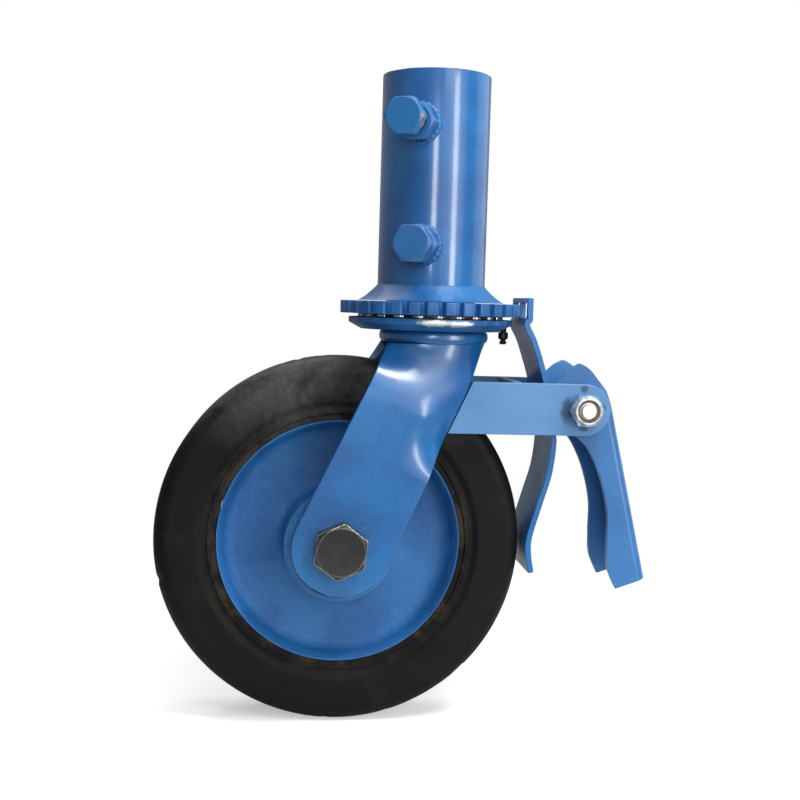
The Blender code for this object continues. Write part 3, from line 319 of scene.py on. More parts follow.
paints = {
    "tube": dict(
        rough=0.24, bump=0.07, coat=0.6, coatRough=0.1, wear=0.2,
        darkSpots=[((0.0065, -0.029, 0.124), (0.0022, 0.003, 0.001)),
                   ((0.027, -0.013, 0.035), (0.0015, 0.004, 0.006))]),
    "bolt": dict(
        rough=0.42, wear=0.5, reach=0.001, lumpScale=300, bump=0.22, coat=0.2,
        bareSpots=[((-0.0132, -0.0562, 0.0925), (0.0022, 0.006, 0.0062))]),
    "ring": dict(
        rough=0.5, wear=0.4, reach=0.0008, lumpScale=260, bump=0.22, coat=0.08, lift=-0.9),
    "dish": dict(
        rough=0.4, wear=0.32, bump=0.22, coat=0.15, bare=(0.66, 0.68, 0.62, 1),
        bareSpots=[((-0.002, -0.045, -0.0112), (0.011, 0.004, 0.0022)),
                   ((0.011, -0.044, -0.0114), (0.0095, 0.004, 0.002))]),
    "fork": dict(
        rough=0.28, lumpScale=120, coat=0.6, coatRough=0.16,
        darkSpots=[((-0.0235, -0.037, -0.042), (0.0022, 0.006, 0.0016))]),
    "weld": dict(rough=0.44, bump=0.2, wear=0.1, lumpScale=420, coat=0.12, coatRough=0.3),
    "arm": dict(
        rough=0.44, wear=0.34, lift=0.5, coat=0.15, dusty=0.55,
        # dark spots left of, above, below and right of the pivot nut: painted shadow of the nut on the arm
        darkSpots=[((0.0738, -0.0297, -0.0568), (0.0046, 0.002, 0.0078)),
                   ((0.0829, -0.0297, -0.0452), (0.0024, 0.003, 0.0024)),
                   ((0.0836, -0.0297, -0.0672), (0.003, 0.003, 0.0018)),
                   ((0.0946, -0.0297, -0.0556), (0.0012, 0.003, 0.0024))]),
    "lever": dict(rough=0.38, lift=0.25, coat=0.2, dusty=0.08),
    "strip": dict(bump=0.14, wear=0.4, coat=0.2),
    "cast": dict(
        rough=0.5, lumpScale=300, grit=0.9, bump=0.75, depth=0.0007, wear=0.16, coat=0),
}
metals = {
    "darkSteel": dict(
        base=(0.021, 0.026, 0.026, 1), worn=(0.66, 0.6, 0.54, 1), rough=0.36, wear=0.72, grime=0.55,
        reach=0.0013),
    "zincSteel": dict(
        base=(0.46, 0.45, 0.43, 1), worn=(0.66, 0.65, 0.63, 1), rough=0.32, wear=0.35, grime=0.3),
    "brightSteel": dict(
        base=(0.8, 0.79, 0.77, 1), worn=(0.92, 0.91, 0.9, 1), rough=0.34, wear=0.4, grime=0.1,
        clean=[((0.0842, -0.0375, -0.0569), (0.009, 0.03, 0.0095))]),
    "greasySteel": dict(
        base=(0.03, 0.028, 0.026, 1), worn=(0.22, 0.2, 0.18, 1), rough=0.3, wear=0.25, grime=0.5,
        metallic=0.7),
    "ballSteel": dict(
        base=(0.6, 0.59, 0.57, 1), worn=(0.75, 0.74, 0.72, 1), rough=0.14, wear=0.1, grime=0.35),
    "bushBronze": dict(
        base=(0.5, 0.31, 0.13, 1), worn=(0.72, 0.5, 0.25, 1), rough=0.36, wear=0.3, grime=0.3),
    "nylonRing": dict(
        base=(0.12, 0.085, 0.06, 1), worn=(0.2, 0.15, 0.11, 1), rough=0.5, wear=0.1, metallic=0),
}
finish = {name: makePaint(name + "Paint", **look) for name, look in paints.items()}
finish.update({name: makeSteel(name, **look) for name, look in metals.items()})
finish["rubber"] = makeRubber()
print("materials made:", len(finish))


# shape helpers

def softCorners(points, radius=0.0004, closed=False, steps=3):
    # rounds each corner; a third number in a point is a radius of its own
    count = len(points)
    rounded = []
    for index, point in enumerate(points):
        here = Vector(point[:2])
        size = point[2] if len(point) > 2 else radius
        before = Vector(points[index - 1][:2]) - here
        after = Vector(points[(index + 1) % count][:2]) - here
        opening = before.angle(after, pi)
        free = not closed and index in (0, count - 1)
        if size == 0 or free or opening > radians(172):
            rounded.append(tuple(here))
            continue
        trim = min(size / tan(opening / 2), before.length * 0.45, after.length * 0.45)
        start = here + before.normalized() * trim
        end = here + after.normalized() * trim
        for step in range(steps + 1):
            t = step / steps
            spot = start * (1 - t) ** 2 + here * (2 * t * (1 - t)) + end * t * t
            rounded.append(tuple(spot))
    return rounded


def arc(centre, radius, start, end, count):
    turn = [radians(start + (end - start) * step / count) for step in range(count + 1)]
    return [(centre[0] + radius * cos(a), centre[1] + radius * sin(a)) for a in turn]


def smoothPath(knots, steps):
    path = []
    last = len(knots) - 1
    for index in range(last):
        before, start = Vector(knots[max(index - 1, 0)]), Vector(knots[index])
        end, after = Vector(knots[index + 1]), Vector(knots[min(index + 2, last)])
        for step in range(steps):
            t = step / steps
            spot = 0.5 * (
                2 * start + (end - before) * t + (2 * before - 5 * start + 4 * end - after) * t * t
                + (3 * start - before - 3 * end + after) * t ** 3)
            path.append((spot.x, spot.y))
    path.append(tuple(knots[-1]))
    return path


def at(x, y, z):
    return Matrix.Translation((x, y, z))


def along(origin, direction):
    turn = Vector(direction).to_track_quat("Z", "Y").to_matrix().to_4x4()
    return Matrix.Translation(origin) @ turn


def moved(bm, matrix):
    ops.transform(bm, matrix=matrix, verts=bm.verts)
    return bm


def polar(point):
    return hypot(point.x, point.y), atan2(point.y, point.x)


def turned(points, steps=96, closed=False):
    bm = bmesh.new()
    verts = [bm.verts.new((radius, 0, height)) for radius, height in points]
    edges = [bm.edges.new(pair) for pair in zip(verts, verts[1:])]
    if closed:
        edges.append(bm.edges.new((verts[-1], verts[0])))
    ops.spin(
        bm, geom=verts + edges, cent=(0, 0, 0), axis=(0, 0, 1), angle=tau, steps=steps,
        use_merge=True)
    ops.remove_doubles(bm, verts=bm.verts, dist=nearby)
    ops.recalc_face_normals(bm, faces=bm.faces)
    return bm


def faceTowards(bm, way):
    ops.recalc_face_normals(bm, faces=bm.faces)
    if sum(face.normal.dot(way) for face in bm.faces) < 0:
        ops.reverse_faces(bm, faces=bm.faces)


def washer(inner, outer, low, high, radius=0.0003):
    corners = [(outer, high), (outer, low), (inner, low), (inner, high)]
    return turned(softCorners(corners, radius, closed=True), closed=True)


def rod(radius, low, high):
    return turned([(0, high), (radius, high), (radius, low), (0, low)], 64)


# a hexagon's sizes as shares of its width across flats
hexagon = dict(flat=0.475, wide=0.577, corner=0.5675, shaped=0.52, steps=72)


def shapeHex(bm, across, low, high, turn=0):
    # pulls the widest rings of a turned shape in to a hexagon with coned ends
    side = radians(60)
    for vert in bm.verts:
        radius, angle = polar(vert.co)
        if radius < across * hexagon["shaped"] or not low - 0.0001 < vert.co.z < high + 0.0001:
            continue
        wide = across / 2 / cos((angle - turn) % side - side / 2)
        wide = min(wide, across * hexagon["corner"])   # the very corner is rubbed off
        drop = (wide - across * hexagon["flat"]) * tan(radians(30))
        height = high - drop if vert.co.z > (low + high) / 2 else low + drop
        vert.co = (wide * cos(angle), wide * sin(angle), height)


def threads(radius, start, end, pitch):
    # ridges of a screw thread, from start down to end
    depth = pitch * 0.5
    count = max(int((start - end) / pitch), 1)
    step = (start - end) / count
    points = []
    for turn in range(count):
        top = start - step * turn
        points += [(radius - depth, top - step * 0.1), (radius, top - step * 0.45),
                   (radius, top - step * 0.6), (radius - depth, top - step * 0.95)]
    return points


def hexBolt(across, head, radius, length, pitch, threadStart, turn=0, dome=0):
    # head from 0 to +Z, shank to -Z, threaded below threadStart
    flat, wide = across * hexagon["flat"], across * hexagon["wide"]
    points = [(0, head - dome), (flat * 0.7, head - dome), (flat, head), (wide, head * 0.8),
              (wide, head * 0.1), (flat, 0), (radius, 0), (radius, threadStart)]
    points += threads(radius, threadStart, 0.0012 - length, pitch)
    points += [(radius - 0.0012, -length), (0, -length)]
    bm = turned(points, hexagon["steps"])
    shapeHex(bm, across, 0, head, turn)
    return bm


def hexNut(across, height, bore):
    flat, wide = across * hexagon["flat"], across * hexagon["wide"]
    points = [(bore + 0.0006, height), (flat, height), (wide, height * 0.85), (wide, height * 0.15),
              (flat, 0), (bore + 0.0006, 0), (bore, 0.0006), (bore, height - 0.0006)]
    bm = turned(points, hexagon["steps"], closed=True)
    shapeHex(bm, across, 0, height)
    return bm


def linked(name, bm):
    mesh = bpy.data.meshes.new(name)
    bm.to_mesh(mesh)
    bm.free()
    piece = bpy.data.objects.new(name, mesh)
    scene.collection.objects.link(piece)
    return piece


def fromObject(bm, kind, cutter=None, **settings):
    # runs one modifier on the mesh and gives the result back as a bmesh
    spares = [linked("work", bm)]
    if cutter:
        spares.append(linked("cutter", cutter))
        settings.update(object=spares[1], solver="EXACT")
    modifier = spares[0].modifiers.new("work", kind)
    for key, value in settings.items():
        setattr(modifier, key, value)
    evaluated = spares[0].evaluated_get(bpy.context.evaluated_depsgraph_get())
    result = bmesh.new()
    result.from_mesh(evaluated.to_mesh())
    evaluated.to_mesh_clear()
    for spare in spares:
        data = spare.data
        bpy.data.objects.remove(spare)
        bpy.data.meshes.remove(data)
    ops.remove_doubles(result, verts=result.verts, dist=nearby)
    return result


def cut(bm, cutter, operation="DIFFERENCE"):
    return fromObject(bm, "BOOLEAN", cutter, operation=operation)


def walled(bm, thickness):
    return fromObject(bm, "SOLIDIFY", thickness=thickness, offset=-1, use_even_offset=True)


def dress(bm, name, material, where=None, nodes=None, body=None, slot=None, crease=28, rounding=0):
    # stands for the node of its own name, unless it is given others, or a body alone; its slot is not used
    if where:
        moved(bm, where)
    ops.recalc_face_normals(bm, faces=bm.faces)
    piece = linked(name, bm)
    piece.data.shade_smooth()
    piece.data.set_sharp_from_angle(angle=radians(crease))
    piece.data.materials.append(finish[material])
    if rounding:
        edge = piece.modifiers.new("rounding", "BEVEL")
        edge.width = rounding
        edge.segments = 2
        edge.limit_method = "ANGLE"
        edge.angle_limit = radians(35)
        edge.use_clamp_overlap = False
        edge.harden_normals = True
    if not body:
        nodes = nodes or ["".join("_" + letter.lower() if letter.isupper() else letter for letter in name)]
        body, slot = frame["nodes"][nodes[0]]["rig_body"], slotOf[nodes[0]]
    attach(piece, body)
    if nodes:
        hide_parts(*nodes)
    return piece


# tube socket

tube = dict(
    radius=0.03015, wall=0.005, foot=0.0003, top=0.1248, edge=0.0007, steps=160, weldRise=0.009,
    weldReach=0.0115, hollow=1.4, runs=44)
clamp = {"turn": {"Lower": radians(-109), "Upper": radians(-113.5)},
         "heights": {"Lower": 0.0305, "Upper": 0.0952}, "standOff": {"Lower": 0.006, "Upper": 0.012},
         "across": 0.019, "head": 0.0078, "shank": 0.0059, "length": 0.021, "nut": 0.01,
         "pitch": 0.00175, "bead": 0.0014, "beadRipple": 0.00016, "beadRuns": 22}

clampWay = {spot: Vector((cos(turn), sin(turn), 0)) for spot, turn in clamp["turn"].items()}
bore = tube["radius"] - tube["wall"]
wallPoints = [(tube["radius"], tube["top"]), (tube["radius"], tube["foot"]), (bore, tube["foot"]),
              (bore, tube["top"])]
tubeShape = turned(softCorners(wallPoints, tube["edge"], closed=True), tube["steps"], closed=True)
for spot, height in clamp["heights"].items():
    hole = moved(rod(clamp["shank"] + gap, 0, 0.05), along((0, 0, height), clampWay[spot]))
    tubeShape = cut(tubeShape, hole)
dress(tubeShape, "socketTube", "tube")

weldPoints = [(tube["radius"] + tube["weldReach"] * share,
               tube["foot"] + tube["weldRise"] * (1 - share) ** tube["hollow"])
              for share in [index / 16 for index in range(17)]]
weldPoints += [(tube["radius"] - 0.0004, tube["foot"]),
               (tube["radius"] - 0.0004, tube["foot"] + tube["weldRise"])]
footWeld = turned(weldPoints, 240, closed=True)
footWeld.normal_update()
for vert in footWeld.verts:          # the runs of the weld, laid on top of each other
    radius, angle = polar(vert.co)
    share = min(max((radius - tube["radius"]) / tube["weldReach"], 0), 1)
    swell = sin(pi * share)
    ripple = sin(angle * tube["runs"] + 2 * noise(vert.co * 60) + 9 * share)
    vert.co += vert.normal * swell * (0.00006 * ripple + 0.0003 * noise(vert.co * 110))
dress(footWeld, "footWeld", "weld", body="socket", slot="blue_paint", crease=60)


def weldBead(seed):
    # a bead round Z, with the ripples of its runs
    ringRadius, beadRadius, ripple = clamp["across"] * 0.54, clamp["bead"], clamp["beadRipple"]
    section = [(ringRadius + x, z) for x, z in arc((0, 0), beadRadius, 0, 330, 11)]
    bm = turned(section, 120, closed=True)
    for vert in bm.verts:
        angle = polar(vert.co)[1]
        core = Vector((cos(angle), sin(angle), 0)) * ringRadius
        wave = sin(angle * clamp["beadRuns"] + 1.5 * noise(vert.co * 90 + Vector((seed, 0, 0))))
        swell = noise(vert.co * 160 + Vector((0, seed, 3)))
        vert.co = core + (vert.co - core) * (1 + (ripple * wave + ripple * 1.6 * swell) / beadRadius)
    return bm


for spot, height in clamp["heights"].items():
    way = clampWay[spot]
    seat = tube["radius"] * 0.9
    outer = tube["radius"] + 0.0003 + clamp["nut"]
    nut = hexNut(clamp["across"], outer - seat, clamp["shank"] + gap)
    middle = Vector((0, 0, height))
    dress(nut, "clampNut" + spot, "bolt", along(way * seat + middle, way))
    bead = weldBead(height * 50)
    for vert in bead.verts:       # lays the bead on the tube's curve
        side = min(abs(vert.co.x), tube["radius"] * 0.9)
        vert.co.z += sqrt(tube["radius"] ** 2 - side ** 2)
    dress(bead, "clampWeld" + spot, "weld", along(middle, way), body="socket", slot="blue_paint")
    boltSeat = outer + clamp["standOff"][spot]
    bolt = hexBolt(clamp["across"], clamp["head"], clamp["shank"], clamp["length"], clamp["pitch"], -0.0006)
    dress(bolt, "clampBolt" + spot, "bolt", along(way * boltSeat + middle, way))
print("tube socket made")


# toothed ring and swivel head

ringSize = dict(
    radius=0.0507, thick=0.007, teeth=32, edge=0.0006, inner=0.0462,
    seatRise=0.002, seatIn=0.01506, seatOut=0.02485, pin=0.0083,
    # half a pitch of the tooth's outline: share of the pitch, depth
    outline=[(0, 3.8), (0.06, 3.72), (0.105, 3.4), (0.138, 2.9), (0.16, 2.2), (0.176, 1.35),
                (0.192, 0.6), (0.208, 0.18), (0.228, 0.03), (0.3, 0), (0.4, 0), (0.5, 0)],
)
race = dict(
    circle=0.037, ball=0.004, balls=22, ballZ=-0.00795, top=-0.0089, foot=-0.0156, rim=0.003,
    radius=0.046, footRadius=0.039, bore=0.0084)


def grooveArc(height, below):
    # the ball track's section where it cuts a level face
    radius = race["ball"] + 0.0003
    reach = degrees(asin(abs(height - race["ballZ"]) / radius))
    if below:
        return arc((race["circle"], race["ballZ"]), radius, reach, 180 - reach, 10)
    return arc((race["circle"], race["ballZ"]), radius, 180 + reach, 360 - reach, 10)


def makeToothedRing():
    size = ringSize
    foot = -size["thick"]
    outline = size["outline"]
    half = len(outline) - 1
    columns = 2 * half
    rim = softCorners(
        [(size["inner"], 0), (size["radius"], 0), (size["radius"], foot), (size["inner"], foot)],
        size["edge"])
    points = [(size["pin"], foot), (size["pin"], 0), (size["seatIn"], 0),
              (size["seatIn"], size["seatRise"]), (size["seatOut"], size["seatRise"]),
              (size["seatOut"], 0), (0.035, 0)] + rim
    points += grooveArc(foot, below=True)
    bm = turned(points, columns * size["teeth"], closed=True)
    pitch = tau / size["teeth"]
    fine = tau / (columns * size["teeth"])
    for vert in bm.verts:
        radius, angle = polar(vert.co)
        if radius < size["inner"] + 0.0001:
            continue
        column = round(angle / fine) % (columns * size["teeth"])
        tooth, place = divmod(column, columns)
        share, depth = outline[min(place, columns - place)]
        angle = (tooth + (share if place <= half else 1 - share)) * pitch
        radius = max(radius - depth * mm, size["inner"] + 0.0002)
        vert.co.x, vert.co.y = radius * cos(angle), radius * sin(angle)
    return bm


dress(makeToothedRing(), "toothedRing", "ring", crease=40)

ballShape = bmesh.new()
for index in range(race["balls"]):
    angle = tau * (index + 0.5) / race["balls"]
    centre = (race["circle"] * cos(angle), race["circle"] * sin(angle), race["ballZ"])
    ops.create_uvsphere(
        ballShape, u_segments=24, v_segments=16, radius=race["ball"], matrix=Matrix.Translation(centre))
dress(
    ballShape, "raceBalls", "ballSteel",
    nodes=["race_ball_%02d" % (index + 1) for index in range(race["balls"])])

dishPoints = [(race["bore"], race["foot"]), (race["bore"], race["top"])]
dishPoints += grooveArc(race["top"], below=False)
dishPoints += softCorners(
    [(0.0435, race["top"]), (race["radius"], race["top"]), (race["radius"], race["top"] - race["rim"]),
     (race["footRadius"], race["foot"]), (0.03, race["foot"])], 0.0007)
dress(turned(dishPoints, 160, closed=True), "raceDish", "dish")

grease = washer(0.0335, 0.0396, race["top"] + 0.0001, -ringSize["thick"] - 0.0001, 0.0002)
for vert in grease.verts:            # a dark, uneven ring between the balls: old grease, and painted shade that keeps the gap dark
    vert.co.x, vert.co.y = [value * (1 + 0.012 * noise(vert.co * 300)) for value in vert.co.xy]
dress(grease, "raceGrease", "greasySteel", body="fork", slot="greasy_steel")

nipple = dict(x=0.0421, seat=-0.0159, stem=0.0036, stemR=0.0018, body=0.0028, long=0.0068)
seat, body = nipple["seat"], nipple["body"]
nipplePoints = softCorners([
    (0, seat + nipple["stem"], 0), (nipple["stemR"], seat + nipple["stem"]), (nipple["stemR"], seat),
    (body, seat), (body, seat - 0.0034), (body * 0.55, seat - 0.0042), (body * 0.5, seat - 0.0049),
    (body * 0.78, seat - 0.0056), (body * 0.72, seat - 0.0063), (body * 0.45, seat - nipple["long"]),
    (0, seat - nipple["long"], 0)], 0.0002)
dress(turned(nipplePoints, 36), "greaseNipple", "greasySteel", at(nipple["x"], 0, 0))

crown = dict(
    shift=0.0022, radius=0.0296, bulge=0.0016, top=-0.0159, foot=-0.0221, bore=0.0084, sag=0.0006)
crownMiddle, crownHalf = (crown["top"] + crown["foot"]) / 2, (crown["top"] - crown["foot"]) / 2
crownPoints = [(crown["bore"], crown["foot"]), (crown["bore"], crown["top"]),
               (crown["radius"] - crown["bulge"], crown["top"])]
crownPoints += [(crown["radius"] - 0.3 * crown["bulge"] + crown["bulge"] * x, crownMiddle + crownHalf * z)
                for x, z in arc((0, 0), 1, 60, -90, 16)]
crownShape = turned(crownPoints, 160, closed=True)
crownShape.normal_update()
for vert in crownShape.verts:        # a rounded band, run round by hand and hanging lowest at near and far
    radius = polar(vert.co)[0]
    if radius > crown["radius"] - 0.002:
        vert.co += vert.normal * 0.00022 * noise(vert.co * 130)
        if vert.co.z < crownMiddle:
            vert.co.z -= crown["sag"] * (vert.co.y / crown["radius"]) ** 2
    elif radius < crown["bore"] + 0.001:
        vert.co.x -= crown["shift"]
dress(crownShape, "forkCrown", "fork", at(crown["shift"], 0, 0), crease=50)

pin = dict(
    across=0.024, head=0.009, radius=0.008, top=0.0003, foot=-0.0358, nut=0.0082, nutFoot=-0.0354,
    cupTop=-0.0224, cupFoot=-0.0269, cupR=0.0205, cupLip=0.0016)
pinBolt = hexBolt(pin["across"], pin["head"], pin["radius"], pin["top"] - pin["foot"], 0.002, -0.026)
dress(pinBolt, "kingpin", "greasySteel", at(0, 0, pin["top"]))
pinNut = hexNut(pin["across"], pin["nut"], pin["radius"] + gap)
dress(pinNut, "kingpinNut", "greasySteel", at(0, 0, pin["nutFoot"]))
cupPoints = [(pin["cupR"] - pin["cupLip"], pin["cupTop"]), (pin["cupR"], pin["cupTop"] - pin["cupLip"]),
             (pin["cupR"] - 2 * pin["cupLip"], pin["cupFoot"]), (pin["radius"] + gap, pin["cupFoot"]),
             (pin["radius"] + gap, pin["cupTop"])]
dress(turned(softCorners(cupPoints, closed=True), closed=True), "thrustCup", "greasySteel")
print("toothed ring and swivel head made")


# fork legs

leg = dict(
    top=-0.0224, axle=Vector((-0.0497, -0.1328)), topShift=0.0022, out=0.0443, thick=0.006, half=0.0254,
    endR=0.0262, crownR=0.0296, flare=0.04, rearFlare=0.044, rearTop=0.022, rearBend=1.8, twist=0.034,
    flange=(0.022, 0.044, 0.07), bend=2.4, arm=0.0295, columns=30, rows=72, footRows=14)
leg["lean"] = atan2(leg["topShift"] - leg["axle"].x, leg["top"] - leg["axle"].y)
leg["run"] = hypot(leg["topShift"] - leg["axle"].x, leg["top"] - leg["axle"].y)


def ease(value):
    value = min(max(value, 0), 1)
    return value * value * (3 - 2 * value)


def legPoint(run, share):
    lean = leg["lean"]
    centre = Vector((leg["topShift"] - run * sin(lean), leg["top"] - run * cos(lean)))
    tilt = -lean * ease(run / leg["twist"])
    half = leg["half"] + (leg["endR"] - leg["half"]) * run / leg["run"]
    half /= cos(lean + tilt)
    return centre + Vector((cos(tilt), sin(tilt))) * half * share


def legStand(run, share):
    halfTop = leg["half"] / cos(leg["lean"])
    crownR, out, arm = leg["crownR"], leg["out"], leg["arm"]
    roundTop = sqrt(crownR ** 2 - halfTop ** 2)
    middle = crownR + (out - crownR) * ease(run / leg["flare"])
    start, end, fade = leg["flange"]
    if share < 0:
        stretch = 1 - max(1 - run / leg["rearFlare"], 0) ** leg["rearBend"]
        edge = leg["rearTop"] + (out - leg["rearTop"]) * stretch
    elif run < start:
        edge = roundTop + (arm - roundTop) * ease(run / start)
    elif run < end:
        edge = arm
    else:
        edge = arm + (out - arm) * ease((run - end) / (fade - end))
    reach = halfTop / crownR
    roundness = (1 - sqrt(1 - (reach * share) ** 2)) / (1 - sqrt(1 - reach ** 2))
    mix = ease(run / leg["flare"])
    return middle - (middle - edge) * (roundness * (1 - mix) + abs(share) ** leg["bend"] * mix)


def makeLeg(side):
    bm = bmesh.new()
    rows = leg["rows"] + leg["footRows"]
    ops.create_grid(bm, x_segments=leg["columns"], y_segments=rows, size=1)
    down = Vector((-sin(leg["lean"]), -cos(leg["lean"])))
    acrossWay = Vector((cos(leg["lean"]), -sin(leg["lean"])))
    for vert in bm.verts:
        share = vert.co.x
        row = (1 - vert.co.y) / 2 * rows
        if row <= leg["rows"]:
            run = leg["run"] * row / leg["rows"]
            spot = legPoint(run, share)
            stand = legStand(run, share)
        else:
            turn = radians(90) * (row - leg["rows"]) / leg["footRows"]
            spot = leg["axle"] + down * leg["endR"] * sin(turn)
            spot += acrossWay * leg["endR"] * cos(turn) * share
            stand = leg["out"]
        vert.co = (spot.x, side * stand, spot.y)
    ops.remove_doubles(bm, verts=bm.verts, dist=0.00001)
    faceTowards(bm, Vector((0, side, 0)))
    return walled(bm, leg["thick"])


for side, label, _ in sides:
    dress(makeLeg(side), "forkLeg" + label, "fork", crease=32, rounding=0.0006)
print("fork legs made")


# axle and wheel

axle = dict(
    x=-0.0497, z=-0.1328, radius=0.009, across=0.027, head=0.0087, turn=radians(23), seat=0.0446,
    washer=0.0025, washerR=0.017, nut=0.0145, tail=0.003, sleeveR=0.0116, bushR=0.0148,
    bushLength=0.026, hubHalf=0.036, legIn=0.0383, hubWasher=0.0017, hubWasherR=0.019)
wheel = dict(
    radius=0.1015, width=0.0456, shoulder=0.009, rim=0.067, rimWidth=0.0432, rimEdge=0.0007,
    draft=0.0026, rimFillet=0.0068, hub=0.0305, hubFillet=0.005, hubChamfer=0.0012, web=0.02,
    lip=0.0075, lipDepth=0.002, steps=240)

hubPlace = at(axle["x"], 0, axle["z"])
axleLength = 2 * axle["seat"] + axle["washer"] + gap + axle["nut"] + axle["tail"]
bolt = hexBolt(axle["across"], axle["head"], axle["radius"], axleLength, 0.0025,
               -(axleLength - 0.024), axle["turn"], dome=0.0003)
dress(bolt, "axleBolt", "darkSteel", hubPlace @ at(0, -axle["seat"], 0) @ nearTurn)
dress(washer(axle["radius"] + gap, axle["washerR"], 0, axle["washer"]), "axleWasher", "zincSteel",
      hubPlace @ at(0, axle["seat"], 0) @ farTurn)
dress(hexNut(axle["across"], axle["nut"], axle["radius"] + gap), "axleNut", "darkSteel",
      hubPlace @ at(0, axle["seat"] + axle["washer"] + gap, 0) @ farTurn)
sleeveHalf = axle["legIn"] - gap
dress(washer(0.0094, axle["sleeveR"], -sleeveHalf, sleeveHalf), "axleSleeve", "zincSteel",
      hubPlace @ nearTurn)
for side, label, turn in sides:
    dress(washer(axle["sleeveR"] + gap, axle["hubWasherR"], 0, axle["hubWasher"]),
          "hubWasher" + label, "zincSteel", hubPlace @ at(0, side * (axle["hubHalf"] + gap), 0) @ turn)
    dress(washer(axle["sleeveR"] + 0.0004, axle["bushR"], -axle["bushLength"], 0),
          "hubBush" + label, "bushBronze", hubPlace @ at(0, side * axle["hubHalf"], 0) @ turn)


def rimSide(side):
    face, web = wheel["rimWidth"] / 2, wheel["web"] / 2
    wall = wheel["rim"] - wheel["rimEdge"]
    root, fillet = wall - wheel["draft"], wheel["rimFillet"]
    hub, hubFillet = wheel["hub"], wheel["hubFillet"]
    points = softCorners([(wheel["rim"], face - 0.002), (wheel["rim"], face), (wall, face),
                          (root, web + fillet)], 0.0007, steps=4)
    points += arc((root - fillet, web + fillet), fillet, 0, -90, 8)
    points += arc((hub + hubFillet, web + hubFillet), hubFillet, 270, 180, 8)
    points += softCorners([(hub, web + hubFillet + 0.001), (hub, axle["hubHalf"]),
                           (axle["bushR"] + gap, axle["hubHalf"])], wheel["hubChamfer"])
    return [(radius, side * height) for radius, height in points]


centre = turned(rimSide(-1) + list(reversed(rimSide(1))), wheel["steps"], closed=True)
for vert in centre.verts:            # the casting's faces aren't quite true
    if wheel["hub"] + 0.001 < polar(vert.co)[0] < wheel["rim"] - 0.004:
        vert.co.z += 0.00022 * noise(vert.co * 120)
dress(centre, "wheelCentre", "cast", hubPlace @ nearTurn)


def tyreSide(side):
    half = wheel["width"] / 2
    shoulder = wheel["shoulder"]
    foot = wheel["rim"] + gap
    lip = foot + wheel["lip"]
    low = half - wheel["lipDepth"]
    points = arc((wheel["radius"] - shoulder, half - shoulder), shoulder, 0, 90, 14)
    points += [(0.09, half - 0.0001), (0.086, half - 0.0001), (0.0815, half)]
    points += softCorners([
        (lip + 0.0065, half), (lip + 1.6 * wheel["lipDepth"], half, 0.0022), (lip, low, 0.0018),
        (foot + 0.0052, low, 0.0004), (foot + 0.0046, low + 0.0007, 0.0004),
        (foot + 0.0034, low + 0.0007, 0.0004), (foot + 0.0028, low - 0.0002, 0.0004),
        (foot, low - 0.0002)], 0.0005)
    return [(radius, side * height) for radius, height in points]


tyre = turned(tyreSide(-1) + list(reversed(tyreSide(1))), wheel["steps"], closed=True)
for vert in tyre.verts:              # knocks and wear round the tread's edges, always inwards
    radius = polar(vert.co)[0]
    if radius > 0.078:
        soft = noise(vert.co * 24)
        nick = max(noise(vert.co * 150 + Vector((7, 1, 3))) - 0.42, 0)
        edge = min(max((radius - 0.09) / 0.01, 0), 1)
        push = 0.00012 + 0.00012 * soft + 0.003 * nick * edge
        vert.co -= vert.normal * push
dress(tyre, "tyre", "rubber", hubPlace @ nearTurn, crease=50)
print("axle and wheel made")


# brake arms, pivot and guide

brake = dict(
    pivotX=0.0842, pivotZ=-0.0569, armIn=0.0245, armOut=0.0295, armHeight=0.0286, half=0.0225,
    pivotR=0.005, across=0.017, head=0.0066, nut=0.0058, collar=0.0022, tail=0.0006, washerR=0.01,
    camX=0.0645, plateX=0.0493, plate=0.005, plateHeight=0.023, guideZ=-0.0539, guideR=0.004,
    guideAcross=0.013, guideHead=0.0053, guideNut=0.0065, guideTail=0.0012, wire=0.0008, coil=0.0064,
    turns=4.5, springEnds=(0.0496, 0.061))
pivotPlace = at(brake["pivotX"], 0, brake["pivotZ"])


def legFront(height):
    low, high = 0, leg["run"]
    for _ in range(40):
        run = (low + high) / 2
        if legPoint(run, 1).y > height:
            low = run
        else:
            high = run
    return legPoint(low, 1).x


def plateShape(outline, low, high):
    bm = bmesh.new()
    face = bm.faces.new([bm.verts.new((x, y, low)) for x, y in outline])
    grown = ops.extrude_face_region(bm, geom=[face])["geom"]
    lid = [item for item in grown if isinstance(item, bmesh.types.BMVert)]
    ops.translate(bm, verts=lid, vec=(0, 0, high - low))
    ops.recalc_face_normals(bm, faces=bm.faces)
    return bm


half = brake["armHeight"] / 2
armTop, armFoot = brake["pivotZ"] + half, brake["pivotZ"] - half
armOutline = [(legFront(armTop) + gap, armTop)]
armOutline += arc((brake["pivotX"], brake["pivotZ"]), half, 90, -90, 40)
armOutline += [(legFront(armFoot) + gap, armFoot)]
for side, label, _ in sides:
    shift = 0 if side < 0 else brake["armIn"] + brake["armOut"]
    dress(plateShape(armOutline, brake["armIn"], brake["armOut"]), "brakeArm" + label, "arm",
          at(0, shift, 0) @ nearTurn, rounding=0.0005)

seat = brake["armOut"] + gap
pivotLength = 2 * seat + brake["nut"] + brake["collar"] + brake["tail"]
bolt = hexBolt(brake["across"], brake["head"], brake["pivotR"], pivotLength, 0.0015, -(pivotLength - 0.018))
dress(bolt, "pivotBolt", "brightSteel", pivotPlace @ at(0, seat, 0) @ farTurn)

